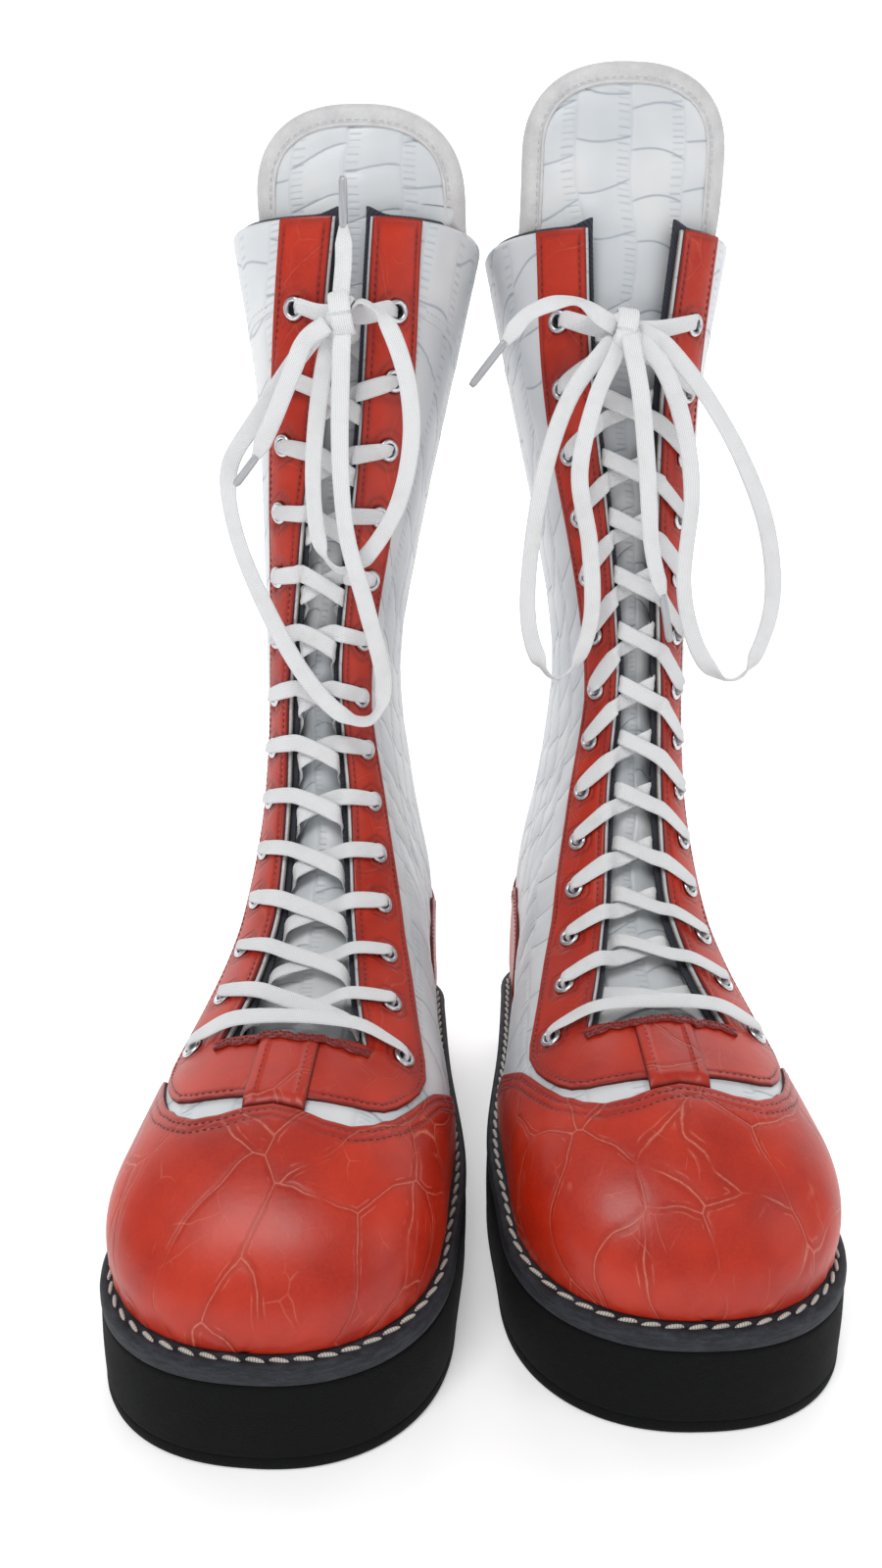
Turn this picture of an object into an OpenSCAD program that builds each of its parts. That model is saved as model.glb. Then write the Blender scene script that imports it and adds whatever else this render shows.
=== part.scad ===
// A pair of tall lace-up ring boots on thick platform soles.
// Frame: +Z up, the toes point to -Y, the floor is Z = 0.
// Each boot is drawn in its own frame, where +X is the outer (lateral) side, and is then placed.
// The leather is a smooth shell S(t, s): t runs from the toe tip (0) up the front to the rim (8),
// and s is the distance in mm from the front centre line round to the welt or the back seam.

/* [Sole] */
// Thickness of the rubber outsole
outsole_h = 5; // [4:0.5:7]
// Thickness of the foam platform
platform_h = 25.5; // [22:0.5:28]
// Thickness of the welt and midsole
welt_h = 7; // [6:0.5:8]
// How far the sole stands out past the leather
welt_out = 6.5; // [5:0.5:8]
// Spacing of the welt's lock stitches
stitch_pitch = 7.2; // [6.8:0.2:8]
// Length of one welt stitch
stitch_len = 5.4; // [4:0.2:6]

/* [Leather] */
// Thickness of each leather layer
leather = 1.5; // [1.2:0.1:1.6]
// Clearance between two layers
layer_gap = 0.3; // [0.2:0.05:0.4]
// Width of the eyelet facings
facing_w = 24; // [22:0.5:26]
// Width of the throat strap
strap_w = 21; // [16:1:24]
// Half width of the back strip
back_strip_w = 13; // [10:1:16]
// Depth of the collar band below the rim
collar_h = 28; // [20:1:34]

/* [Tongue] */
// Half width of the tongue at the top
tongue_w = 41; // [36:1:42]
// Thickness of the tongue
tongue_t = 3; // [2.5:0.5:3.5]
// Height of the right boot's tongue tip above the floor
right_tongue_z = 432; // [425:1:440]
// Height of the left boot's tongue tip above the floor
left_tongue_z = 452; // [440:1:456]

/* [Lacing] */
// Distance between two eyelet rows along the front
row_pitch = 23; // [22:0.5:23]
// Width of the flat lace
lace_w = 6.8; // [5:0.2:7]
// Thickness of the flat lace
lace_t = 1.3; // [1:0.1:1.6]
// Radius of an eyelet's hole
eyelet_r = 2.5; // [2.3:0.1:2.6]

/* [Placing] */
// Sideways distance of each boot's centre from the middle of the pair
half_stance = 58.5; // [58:0.5:90]
// How far the right boot stands in front of the left one
stagger = 15; // [0:1:30]
// Angle by which each boot's toe turns outward
toe_out = 3.5; // [2:0.5:6]

/* [Hidden] */
PIECES = ["outsole", "platform", "welt", "welt_stitching", "bottom_filler", "shank", "insole_board",
          "sock_liner", "vamp", "toe_puff", "quarter_lateral", "quarter_medial", "heel_counter",
          "heel_stiffener", "back_strip", "eyestay_lateral", "eyestay_medial", "throat_strap",
          "collar_band", "lining", "tongue", "tongue_top", "tongue_binding", "eyelets_lateral",
          "eyelets_medial", "lace", "bow", "aglets"];

// Eyelet rows on each side, fixed by the cut of the facings.
rows = 14;
welt_top = outsole_h + platform_h + welt_h;
feather_z = welt_top + 0.3;

// The front centre line, as [y, z] for t = 1 to 8.
RIDGE = [[-154, 91], [-108, 104.5], [-68, 128], [-41, 172],
         [-34.5, 225], [-35, 278], [-37, 331], [-40, 390]];
// The lower edge beside the foot, as [x, y] for t = 1 to 4. It then rounds the heel to t = 5.
FEATHER = [[53.5, -154], [53.5, -98], [42, -22], [34, 45]];
heel_y = 79;
toe_y = -209;
// The back seam's y, the half width and the sideways lean, at seven even heights from welt to rim.
BACK = [heel_y, 77.5, 69, 65, 66.5, 71, 78];
SHAFT_W = [35, 36.5, 32, 29, 33, 40, 50.5];
LEAN = [0, 1.5, 6, 8, 3, -3, -5.2];
// Height of the back seam's end of a section, for t = 5 to 8.
BACK_Z = [feather_z, 150, 265, RIDGE[7][1]];
// Half width of the foot at five even places from the toe cap to the heel.
FOOT_W = [55.5, 54.5, 44.5, 36, 35];
FOOT_Y = [-154, 79];
// How soon a section reaches its full width, as a share of the way to its base, and how square
// that rounding is, for t = 1 to 8.
ROUND = [0.66, 0.62, 0.47, 0.4, 0.46, 0.52, 0.5, 0.5];
SQUARE = [2.3, 2.3, 2.2, 2.1, 2.1, 2.2, 2.3, 2.4];
// The toe's depth, how square it is seen from above, and how much its front face slopes.
toe_cap = 55;
toe_square = 2.3;
toe_slope = 0.25;
// Rounding of the heel and the back seam, as a radius at the welt and at the rim.
back_radius = [34, 59];
back_square = 2.3;
// The leather tucks in over this height above the welt, by this share of its width.
tuck_h = 14;
tuck_share = 0.04;
// Heights above the welt between which the foot passes into the shaft.
ankle = [8, 123];

function mix(a, b, k) = a + (b - a) * k;
function limit(x, lo, hi) = min(max(x, lo), hi);
function spline(v, t) =
    let (n = len(v) - 1, i = limit(floor(t), 0, n - 1), u = t - i,
         b = v[i], c = v[i + 1],
         a = i > 0 ? v[i - 1] : 2 * b - c,
         e = i + 2 <= n ? v[i + 2] : 2 * c - b)
    0.5 * (2 * b + (c - a) * u + (2 * a - 5 * b + 4 * c - e) * u * u
           + (3 * b - a - 3 * c + e) * u * u * u);
function toe_round(k) = pow(max(0.00001, 1 - pow(1 - k, toe_square)), 1 / toe_square);

function round_in(k, n) = pow(max(0.00001, 1 - pow(1 - min(k, 1), n)), 1 / n);
function share_of_height(z) = (z - feather_z) / (RIDGE[7][1] - feather_z);
function by_height(v, z) = spline(v, (len(v) - 1) * limit(share_of_height(z), 0, 1));
function smooth(k) = let (c = limit(k, 0, 1)) c * c * (3 - 2 * c);

// One station: its front point and base point, both as [y, z], and the share of the full width it has.
function toe_station(t) =
    let (k = 1 - cos(90 * t), y = toe_y + toe_cap * k, e = toe_round(max(k, 0.0006)),
         rise = RIDGE[0][1] - feather_z - toe_cap * (1 - k) * toe_slope)
    [[y, feather_z + e * rise], [y, feather_z], e];
function base_point(t) =
    t < 4 ? [spline(FEATHER, t - 1)[1], feather_z] :
    t < 5 ? [FEATHER[3][1] + (heel_y - FEATHER[3][1]) * sin(90 * (t - 4)), feather_z] :
    let (z = spline(BACK_Z, t - 5)) [by_height(BACK, z), z];
function station(t) = t < 1 ? toe_station(t) : [spline(RIDGE, t - 1), base_point(t), 1];

// Full half width at a place seen from the side: the foot's below, the shaft's above, tucked in at the
// welt and rounded off to nothing at the back.
function full_width(y, z) =
    let (over = z - feather_z,
         foot_share = limit((y - FOOT_Y[0]) / (FOOT_Y[1] - FOOT_Y[0]), 0, 1),
         foot = spline(FOOT_W, (len(FOOT_W) - 1) * foot_share),
         shaft = by_height(SHAFT_W, z),
         up = smooth((over - ankle[0]) / (ankle[1] - ankle[0])),
         tuck = 1 - tuck_share * pow(1 - limit(over / tuck_h, 0, 1), 2),
         corner = mix(back_radius[0], back_radius[1], share_of_height(z)))
    mix(foot, shaft, up) * tuck * round_in((by_height(BACK, z) - y) / corner, back_square);

// The outline of one half section, from the front centre line to the base.
ARC_STEPS = 40;
function half_section(t) =
    let (st = station(t), f = st[0], b = st[1], whole = st[2],
         n = t < 1 ? toe_square : spline(SQUARE, t - 1),
         r = t < 1 ? ROUND[0] : spline(ROUND, t - 1))
    [for (i = [0:ARC_STEPS])
        let (q = (1 - cos(180 * i / ARC_STEPS)) / 2,
             y = mix(f[0], b[0], q),
             z = mix(f[1], b[1], q),
             on_seam = i == 0 || (i == ARC_STEPS && t >= 5))
        [on_seam ? 0 : whole * full_width(y, z) * round_in(q / r, n), y, z]];
function running_length(p) =
    [for (i = 0, a = 0; i < len(p); a = a + (i + 1 < len(p) ? norm(p[i + 1] - p[i]) : 0), i = i + 1) a];

// The shell as a grid of points, evenly spaced along each section.
T_END = 8;
T_STEPS = 80;
S_STEPS = 24;
function even_section(p, lengths) =
    let (total = lengths[len(p) - 1],
         tables = [for (c = [0:2]) [for (i = [0:len(p) - 1]) [lengths[i], p[i][c]]]])
    [for (j = [0:S_STEPS]) [for (c = [0:2]) lookup(total * j / S_STEPS, tables[c])]];
SECTIONS = [for (i = [0:T_STEPS]) half_section(T_END * i / T_STEPS)];
LENGTHS = [for (p = SECTIONS) running_length(p)];
GRID = [for (i = [0:T_STEPS]) even_section(SECTIONS[i], LENGTHS[i])];
GIRTH = [for (l = LENGTHS) l[ARC_STEPS]];
function mirrored(p) = [-p[0], p[1], p[2]];
function unit(v) = v / max(norm(v), 0.000001);
function across(i, j) =
    j == 0 ? GRID[i][1] - mirrored(GRID[i][1]) :
    j < S_STEPS ? GRID[i][j + 1] - GRID[i][j - 1] :
    i >= T_STEPS * 5 / T_END ? mirrored(GRID[i][j - 1]) - GRID[i][j - 1] :
    GRID[i][j] - GRID[i][j - 1];
function along(i, j) = GRID[min(i + 1, T_STEPS)][j] - GRID[max(i - 1, 0)][j];
NORMALS = [for (i = [0:T_STEPS]) [for (j = [0:S_STEPS]) unit(cross(across(i, j), along(i, j)))]];

function girth(t) =
    let (x = limit(t, 0, T_END) * T_STEPS / T_END, i = min(floor(x), T_STEPS - 1))
    GIRTH[i] * (1 - x + i) + GIRTH[i + 1] * (x - i);
function on_grid(grid, t, s) =
    let (x = limit(t, 0, T_END) * T_STEPS / T_END, i = min(floor(x), T_STEPS - 1), u = x - i,
         y = limit(s / girth(t), 0, 1) * S_STEPS, j = min(floor(y), S_STEPS - 1), v = y - j)
    (grid[i][j] * (1 - v) + grid[i][j + 1] * v) * (1 - u)
    + (grid[i + 1][j] * (1 - v) + grid[i + 1][j + 1] * v) * u;
// Worn boots twist at the top: how far the front line has moved sideways against t, for the right
// boot (0) and the left boot (1). The twist fades out towards the back seam.
TWIST = [[[5, 0], [6, -1], [7, -2.5], [7.5, -4], [8, -6.5]],
         [[6, 0], [7, 1], [7.5, 1.6], [8, 3]]];
function twisted(t, s) = s + lookup(t, TWIST[$boot]) * (1 - min(1, abs(s) / girth(t)));
// A point at (t, s), d mm outside the leather. Negative s is the inner (medial) side.
function shell(t, s, d) =
    let (w = twisted(t, s), m = w < 0 ? -1 : 1,
         p = on_grid(GRID, t, abs(w)) + d * unit(on_grid(NORMALS, t, abs(w))))
    [m * p[0] + by_height(LEAN, p[2]), p[1], p[2]];
function outward(t, s) =
    let (w = twisted(t, s), n = unit(on_grid(NORMALS, t, abs(w))))
    [(w < 0 ? -1 : 1) * n[0], n[1], n[2]];
function upward(t, s) = unit(shell(min(t + 0.05, T_END), s, 0) - shell(t - 0.05, s, 0));

// Distances along the front centre line, for placing the eyelet rows.
FRONT = running_length([for (i = [0:T_STEPS]) GRID[i][0]]);
FRONT_TABLE = [for (i = [0:T_STEPS]) [FRONT[i], T_END * i / T_STEPS]];
row_one_below_rim = 31;
row_one = FRONT[T_STEPS] - row_one_below_rim;
function row_t(r) = lookup(row_one - (r - 1) * row_pitch, FRONT_TABLE);

// The lacing gap is closed below THROAT and has opened fully at GAP_START. GAPS lists its half width
// against t, for the right boot (0) and the left boot (1).
THROAT = 1.6;
GAP_START = 1.66;
closed_gap = 0.2;
GAPS = [[[GAP_START, 27], [2.2, 21], [3, 16], [4, 14.5], [5, 12.5], [6, 11], [7, 9], [8, 7.5]],
        [[GAP_START, 27], [2.2, 20], [3, 13.5], [4, 12.5], [5, 10.5], [6, 11], [7, 15], [8, 19.5]]];
function gap(t) =
    let (open = limit((t - THROAT) / (GAP_START - THROAT), 0, 1))
    open < 1 ? mix(closed_gap, GAPS[$boot][0][1], open) : lookup(t, GAPS[$boot]);
// Outer edge of the facing, with its round lobe at the bottom.
LOBE = [[1, 12], [1.01, 22], [1.04, 31], [1.1, 37], [1.2, 41.5],
        [1.35, 46], [1.5, 49.5], [1.7, 52], [1.85, 51]];
lobe_end = LOBE[len(LOBE) - 1];
// The facings narrow a little towards the rim.
function facing_wide(t) = facing_w * (1 - 0.18 * smooth((t - 6.5) / 1.5));
function facing_edge(t) =
    t < lobe_end[0] ? lookup(t, LOBE) : min(lobe_end[1], gap(t) + facing_wide(t) + 2 * max(0, 3 - t));
// The lowest eyelets sit out in the lobes, and the others in the middle of the facings.
lobe_eyelet_s = 41;
function eyelet_s(r) = r == rows ? lobe_eyelet_s : gap(row_t(r)) + facing_wide(row_t(r)) / 2 + 0.8;

// The layers, as distances inside (negative) and outside the leather's face.
base_in = -leather;
over_in = layer_gap;
over_out = layer_gap + leather;
strap_in = over_out + layer_gap;
// Length of the front line for one step of t at the rim.
rim_spacing = 59;
collar_t = T_END - collar_h / rim_spacing;
stiffener = 1;
lining_t = 1.2;
stiff_out = base_in - layer_gap;
stiff_in = stiff_out - stiffener;
lining_out = stiff_in - layer_gap;
lining_in = lining_out - lining_t;
// The lace's middle where it runs under the facings, and over them.
lace_under = lining_in - 1 - lace_t / 2;
lace_over = over_out + 2.2;
lace_room = 2.6;
tongue_out = lace_under - lace_t / 2 - lace_room;
tongue_in = tongue_out - tongue_t;

// A closed plate between two grids of points. Both grids have the same rows and columns.
module plate(outer, inner) {
    nr = len(outer);
    nc = len(outer[0]);
    n = nr * nc;
    function at(i, j) = i * nc + j;
    rim = concat([for (j = [0:nc - 1]) at(0, j)], [for (i = [1:nr - 1]) at(i, nc - 1)],
                 [for (j = [nc - 2:-1:0]) at(nr - 1, j)], [for (i = [nr - 2:-1:1]) at(i, 0)]);
    m = len(rim);
    points = concat([for (row = outer) for (p = row) p], [for (row = inner) for (p = row) p]);
    top = [for (i = [0:nr - 2]) for (j = [0:nc - 2])
        each [[at(i, j), at(i + 1, j + 1), at(i, j + 1)], [at(i, j), at(i + 1, j), at(i + 1, j + 1)]]];
    bottom = [for (f = top) [f[2] + n, f[1] + n, f[0] + n]];
    side = [for (k = [0:m - 1]) let (a = rim[k], b = rim[(k + 1) % m])
        each [[a, b + n, a + n], [a, b, b + n]]];
    polyhedron(points, concat(top, bottom, side));
}
function span(a, b, n) = [for (i = [0:n]) a + (b - a) * i / n];

// A patch of the shell. ts lists the stations, from(t) and to(t) are its two edges, and columns lists
// shares of the way between them.
module patch(ts, from, to, columns, d_in, d_out, side) {
    function row(t, d) = [for (k = columns) shell(t, side * mix(from(t), to(t), k), d)];
    function order(r) = side > 0 ? r : [for (i = [len(r) - 1:-1:0]) r[i]];
    plate([for (t = ts) order(row(t, d_out))], [for (t = ts) order(row(t, d_in))]);
}

// The sole's plan outline, grown by g past the leather's lower edge: the toe, the waist and the heel.
plan_angle = 10;
function plan_side(g) = concat(
    [for (a = [plan_angle:plan_angle:90]) let (k = 1 - cos(a))
        [(FEATHER[0][0] + g) * toe_round(k), toe_y - g + (toe_cap + g) * k]],
    [for (i = [0:10]) let (p = spline(FEATHER, 3 * i / 10)) [p[0] + g, p[1]]],
    [for (a = [plan_angle:plan_angle:80]) let (last = FEATHER[3])
        [(last[0] + g) * cos(a), last[1] + (heel_y + g - last[1]) * sin(a)]]);
function plan(g) = let (r = plan_side(g)) concat(
    [[0, toe_y - g]], r, [[0, heel_y + g]], [for (i = [len(r) - 1:-1:0]) [-r[i][0], r[i][1]]]);
module slab(g, z0, z1) {
    translate([0, 0, z0]) linear_extrude(z1 - z0) polygon(plan(g));
}

// Depth and height of the steps that break the sole's edges.
edge_in = 1;
edge_h = 1.2;
module outsole() {
    color("#141414") {
        slab(welt_out - edge_in, 0, edge_h);
        slab(welt_out, edge_h, outsole_h);
    }
}
module platform() {
    top = outsole_h + platform_h;
    color("#1c1c1c") {
        slab(welt_out, outsole_h, top - edge_h);
        slab(welt_out - edge_in, top - edge_h, top);
    }
}
module welt() {
    base = outsole_h + platform_h;
    color("#2b2a2c") {
        slab(welt_out - edge_in, base, base + edge_h);
        slab(welt_out, base + edge_h, welt_top - edge_h);
        slab(welt_out - edge_in, welt_top - edge_h, welt_top);
    }
}
// The stitches lie on the welt, at this share of its width, a little slanting.
stitch_line = 0.66;
stitch_r = 0.6;
stitch_slant = 12;
module welt_stitching() {
    line = plan(welt_out * stitch_line);
    lengths = running_length(concat(line, [line[0]]));
    total = lengths[len(line)];
    count = floor(total / stitch_pitch);
    xs = [for (i = [0:len(line)]) [lengths[i], line[i % len(line)][0]]];
    ys = [for (i = [0:len(line)]) [lengths[i], line[i % len(line)][1]]];
    color("#e9e2cf") for (i = [0:count - 1]) {
        a = total * (i + 0.5) / count;
        ahead = [lookup(a + 1, xs) - lookup(a - 1, xs), lookup(a + 1, ys) - lookup(a - 1, ys)];
        translate([lookup(a, xs), lookup(a, ys), welt_top + stitch_r + 0.05])
            rotate(atan2(ahead[1], ahead[0]) + stitch_slant)
            rotate([0, 90, 0]) cylinder(r = stitch_r, h = stitch_len, center = true);
    }
}
// The parts inside the foot: how far in from the leather's edge they lie, and how thick they are.
board_inset = 6.8;
liner_inset = 7.4;
filler_h = 2;
board_h = 2;
liner_h = 4;
shank_size = [16, 125, 1.4];
shank_y = -75;
slot_room = 0.2;
module bottom_filler() {
    color("#9a7350") difference() {
        slab(-board_inset, welt_top, welt_top + filler_h);
        translate([-shank_size[0] / 2 - slot_room, shank_y - slot_room, welt_top - 1])
            cube([shank_size[0] + 2 * slot_room, shank_size[1] + 2 * slot_room, filler_h + 2]);
    }
}
module shank() {
    color("#a8abad") translate([-shank_size[0] / 2, shank_y, welt_top]) cube(shank_size);
}
module insole_board() {
    base = welt_top + filler_h;
    color("#b89a72") slab(-board_inset, base, base + board_h);
}
module sock_liner() {
    base = welt_top + filler_h + board_h;
    color("#26272b") slab(-liner_inset, base, base + liner_h);
}

// The vamp's back edge, as t against the share of the way from the centre line to the welt.
VAMP_EDGE = [[0, 0.96], [0.1, 0.93], [0.2, 0.87], [0.3, 0.87], [0.38, 0.93], [0.44, 1.04], [0.5, 1.27],
             [0.58, 1.65], [0.72, 2], [0.86, 2.2], [1, 2.35]];
module vamp() {
    function point(k, f, d) =
        let (t = lookup(abs(f), VAMP_EDGE) * k) shell(t, f * girth(t), d);
    // The tip's row is dropped straight down to the welt.
    function tip(f, d) = let (p = point(first, f, d)) [0.97 * p[0], p[1], welt_top + 0.05];
    first = 0.02;
    fs = span(-0.995, 0.995, 20);
    function rows_at(d) = concat(
        [[for (f = fs) tip(f, d)]],
        [for (k = span(first, 1, 11)) [for (f = fs) point(k, f, d)]]);
    color("#be3324") plate(rows_at(over_out), rows_at(over_in));
}
module toe_puff() {
    function point(t, f, d) = shell(t, f * 0.96 * girth(t), d);
    function rows_at(d) = [for (t = span(0.2, 0.74, 4)) [for (f = span(-1, 1, 10)) point(t, f, d)]];
    color("#8d8779") plate(rows_at(stiff_out), rows_at(stiff_in));
}
// The quarter's lower edge follows the vamp's, a few mm under it.
QUARTER_EDGE = [[0.8, 30], [1, 42], [1.3, 55], [1.7, 85], [2, 118], [2.1, 400]];
// Stations and columns that all the layers of the shaft share, so that their flats lie side by side.
SHAFT_T = [GAP_START, 1.9, 2.2, 2.5, 2.8, 3.1, 3.35, 3.6, 3.9, 4.2, 4.6, 5, 5.3, 5.6, 6, 6.5, 7];
SHAFT_COLUMNS = [0, 0.09, 0.2, 0.35, 0.52, 0.7, 0.85, 1];
LINING_START = SHAFT_COLUMNS[2];
HEEL_START = SHAFT_COLUMNS[4];
// The two sides meet here at the back seam.
back_edge = function (t) girth(t) - 0.15;
// The columns that lie behind a share of the way back, and the edge they start at.
function columns_from(k) = [for (c = SHAFT_COLUMNS) if (c >= k) (c - k) / (1 - k)];
function inset_edge(t, k) = mix(gap(t), back_edge(t), k);
module quarter(side) {
    ts = concat([0.8, 1, 1.3, 1.59, 1.61], SHAFT_T, [collar_t - 0.006]);
    lower_edge = function (t) min(back_edge(t), lookup(t, QUARTER_EDGE));
    color("#dde2e6") difference() {
        patch(ts, function (t) gap(t), lower_edge, SHAFT_COLUMNS, base_in, 0, side);
        eyelet_holes(side);
    }
}
module quarter_lateral() quarter(1);
module quarter_medial() quarter(-1);

// Depth of the heel counter above the welt, measured round the section.
COUNTER = [[3.25, 6], [3.4, 26], [3.6, 42], [4, 58], [4.5, 71],
           [5, 76], [5.25, 52], [5.5, 24], [5.65, 13]];
COUNTER_T = [3.25, 3.35, 3.6, 3.9, 4.2, 4.6, 5, 5.15, 5.3, 5.45, 5.6, 5.65];
module wrap_back(ts, depth, d_in, d_out) {
    for (side = [-1, 1])
        patch(ts, function (t) girth(t) - depth(t), back_edge, span(0, 1, 5), d_in, d_out, side);
}
// The counter's ends stand a little prouder than the back strip.
counter_lift = 0.2;
module heel_counter() {
    depth = function (t) lookup(t, COUNTER);
    color("#b52f22") wrap_back(COUNTER_T, depth, over_in + counter_lift, over_out + counter_lift);
}
module heel_stiffener() {
    ts = [for (t = SHAFT_T) if (t >= 3.6 && t <= 5.6) t];
    front_edge = function (t) inset_edge(t, HEEL_START);
    color("#8d8779") for (side = [-1, 1])
        patch(ts, front_edge, back_edge, columns_from(HEEL_START), stiff_in, stiff_out, side);
}
module back_strip() {
    color("#b52f22") wrap_back([5.67, 6, 6.5, 7, 7.5, 8], function (t) back_strip_w, over_in, over_out);
}

FACING_T = concat([1, 1.01, 1.04, 1.1, 1.2, 1.35, 1.5, 1.59, 1.61], SHAFT_T, [7.5, 8]);
// Puts its children at one eyelet, with +Z pointing out of the leather.
module at_eyelet(r, side) {
    t = row_t(r);
    s = side * eyelet_s(r);
    n = outward(t, s);
    translate(shell(t, s, over_out)) rotate([0, acos(n[2]), atan2(n[1], n[0])]) children();
}
// The punched holes, cut through all the layers at every eyelet of one side.
hole_depth = 9;
module eyelet_holes(side) {
    for (r = [1:rows]) at_eyelet(r, side)
        translate([0, 0, -hole_depth]) cylinder(r = eyelet_r + 1.2, h = hole_depth + 3, $fn = 6);
}
module eyestay(side) {
    outer_edge = function (t) facing_edge(t);
    color("#be3324") difference() {
        patch(FACING_T, function (t) gap(t), outer_edge, span(0, 1, 4), over_in, over_out, side);
        eyelet_holes(side);
    }
}
module eyestay_lateral() eyestay(1);
module eyestay_medial() eyestay(-1);
// The strap comes out from under the vamp's edge and rises on to the lobes.
STRAP_T = [0, 0.03, 0.16, 0.3, 0.46, 0.62];
module throat_strap() {
    function foot(s) = lookup(abs(s) / girth(1), VAMP_EDGE) + 0.008;
    function point(i, k, d) =
        let (s = k * strap_w / 2, t = i == 0 ? foot(s) : 0.995 + STRAP_T[i] - STRAP_T[1])
        shell(t, s, (i == 0 ? over_in : strap_in) + d);
    function rows_at(d) = [for (i = [0:len(STRAP_T) - 1]) [for (k = span(-1, 1, 4)) point(i, k, d)]];
    color("#b52f22") plate(rows_at(leather), rows_at(0));
}
// The collar band is sewn on above the quarters, edge to edge, and passes under the facings.
COLLAR_STEPS = span(collar_t, T_END, 2);
module collar_band() {
    color("#d4dade") for (side = [-1, 1]) difference() {
        patch(COLLAR_STEPS, function (t) gap(t), back_edge, SHAFT_COLUMNS, base_in, 0, side);
        eyelet_holes(side);
    }
}
module lining() {
    function front(k, f, d) = let (t = 0.3 + 1.3 * k) shell(t, f * 0.93 * girth(t), d);
    function rows_at(d) = [for (k = span(0, 1, 4)) [for (f = span(-1, 1, 10)) front(k, f, d)]];
    front_edge = function (t) inset_edge(t, LINING_START);
    color("#20242c") {
        plate(rows_at(lining_out), rows_at(lining_in));
        for (side = [-1, 1])
            patch(concat(SHAFT_T, COLLAR_STEPS), front_edge, back_edge, columns_from(LINING_START),
                lining_in, lining_out, side);
    }
}

// The tongue lies under the facings, and its top stands free above the rim.
hinge_z = RIDGE[7][1] + 6;
shaft_tongue_w = tongue_w - 7;
free_tongue_w = tongue_w - 3;
function tongue_edge(t) = t < 2 ? 22 + 8 * (t - 1.2) : min(shaft_tongue_w, 28 + 1.5 * (t - 2));
function power(x, n) = pow(max(x, 0), 2 / n);
// The tongue is bent round at the rim and straightens above it.
rim_y = RIDGE[7][0] - tongue_out;
// Height and squareness of the rounded part of the free top.
top_round = 31;
top_square = 2.5;
function tongue_tip() = $boot == 0 ? right_tongue_z : left_tongue_z;
function top_y(x, z) =
    let (over = z - RIDGE[7][1], curve = 0.003 + 0.0065 * exp(-over / 14))
    rim_y + tongue_t / 2 + curve * x * x + 0.04 * over;
// The right boot's tongue stands off centre, as the rim has twisted.
TONGUE_SHIFT = [-6.5, 0];
function top_point(x, z, out) =
    let (at = x + TONGUE_SHIFT[$boot])
    [at + LEAN[6], top_y(at, z) - out, z];
// The outline of the top, grown by g: [half width, height] at angle a from the side to the tip.
function top_outline(a, g) =
    [(free_tongue_w + g) * power(cos(a), top_square),
     tongue_tip() - top_round - 3 + (top_round + g) * power(sin(a), top_square)];
module tongue() {
    function point(t, k, d) = shell(t, k * tongue_edge(t), d);
    ts = [1.2, 1.5, 1.8, 2.2, 2.6, 3, 3.5, 4, 4.6, 5.2, 6, 7, 7.8];
    ks = span(-1, 1, 6);
    end_row = function (out) [for (k = ks) top_point(k * (shaft_tongue_w - 4), hinge_z - 1, out)];
    color("#e3e8ec") plate(
        concat([for (t = ts) [for (k = ks) point(t, k, tongue_out)]], [end_row(tongue_t / 2)]),
        concat([for (t = ts) [for (k = ks) point(t, k, tongue_in)]], [end_row(-tongue_t / 2)]));
}
module tongue_top() {
    levels = concat([[free_tongue_w, hinge_z + 1]], [for (a = [0, 25, 45, 62, 75, 84]) top_outline(a, 0)]);
    function row(l, out) = [for (k = span(-1, 1, 8)) top_point(k * l[0], l[1], out)];
    half = tongue_t / 2;
    color("#e3e8ec") plate([for (l = levels) row(l, half)], [for (l = levels) row(l, -half)]);
}

// A flat ribbon along a path. wide lists the direction of its width at each point,
// and sizes its [width, thickness].
CORNERS = [[0.5, 0.5], [-0.5, 0.5], [-0.5, -0.5], [0.5, -0.5]];
module ribbon(path, wide, sizes) {
    n = len(path);
    m = len(CORNERS);
    rings = [for (i = [0:n - 1])
        let (dir = unit(path[min(i + 1, n - 1)] - path[max(i - 1, 0)]),
             w = unit(wide[i] - (wide[i] * dir) * dir), up = cross(dir, w))
        [for (c = CORNERS) path[i] + w * c[0] * sizes[i][0] + up * c[1] * sizes[i][1]]];
    walls = [for (i = [0:n - 2]) for (k = [0:m - 1])
        let (a = i * m + k, b = i * m + (k + 1) % m)
        each [[a, a + m, b + m], [a, b + m, b]]];
    ends = concat([for (k = [1:m - 2]) [0, k, k + 1]],
                  [for (k = [1:m - 2]) [(n - 1) * m, (n - 1) * m + k + 1, (n - 1) * m + k]]);
    polyhedron([for (r = rings) each r], concat(walls, ends));
}
module tongue_binding() {
    function edge_point(a, s) = let (o = top_outline(a, 2.6)) top_point(s * o[0], o[1], 0);
    path = concat([top_point(-tongue_w + 0.4, hinge_z + 1, 0)], [for (a = [0:15:90]) edge_point(a, -1)],
                  [for (a = [75:-15:0]) edge_point(a, 1)], [top_point(tongue_w - 0.4, hinge_z + 1, 0)]);
    color("#f2efe9") ribbon(path, [for (p = path) [0, 1, 0]], [for (p = path) [5, 4.6]]);
}

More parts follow.
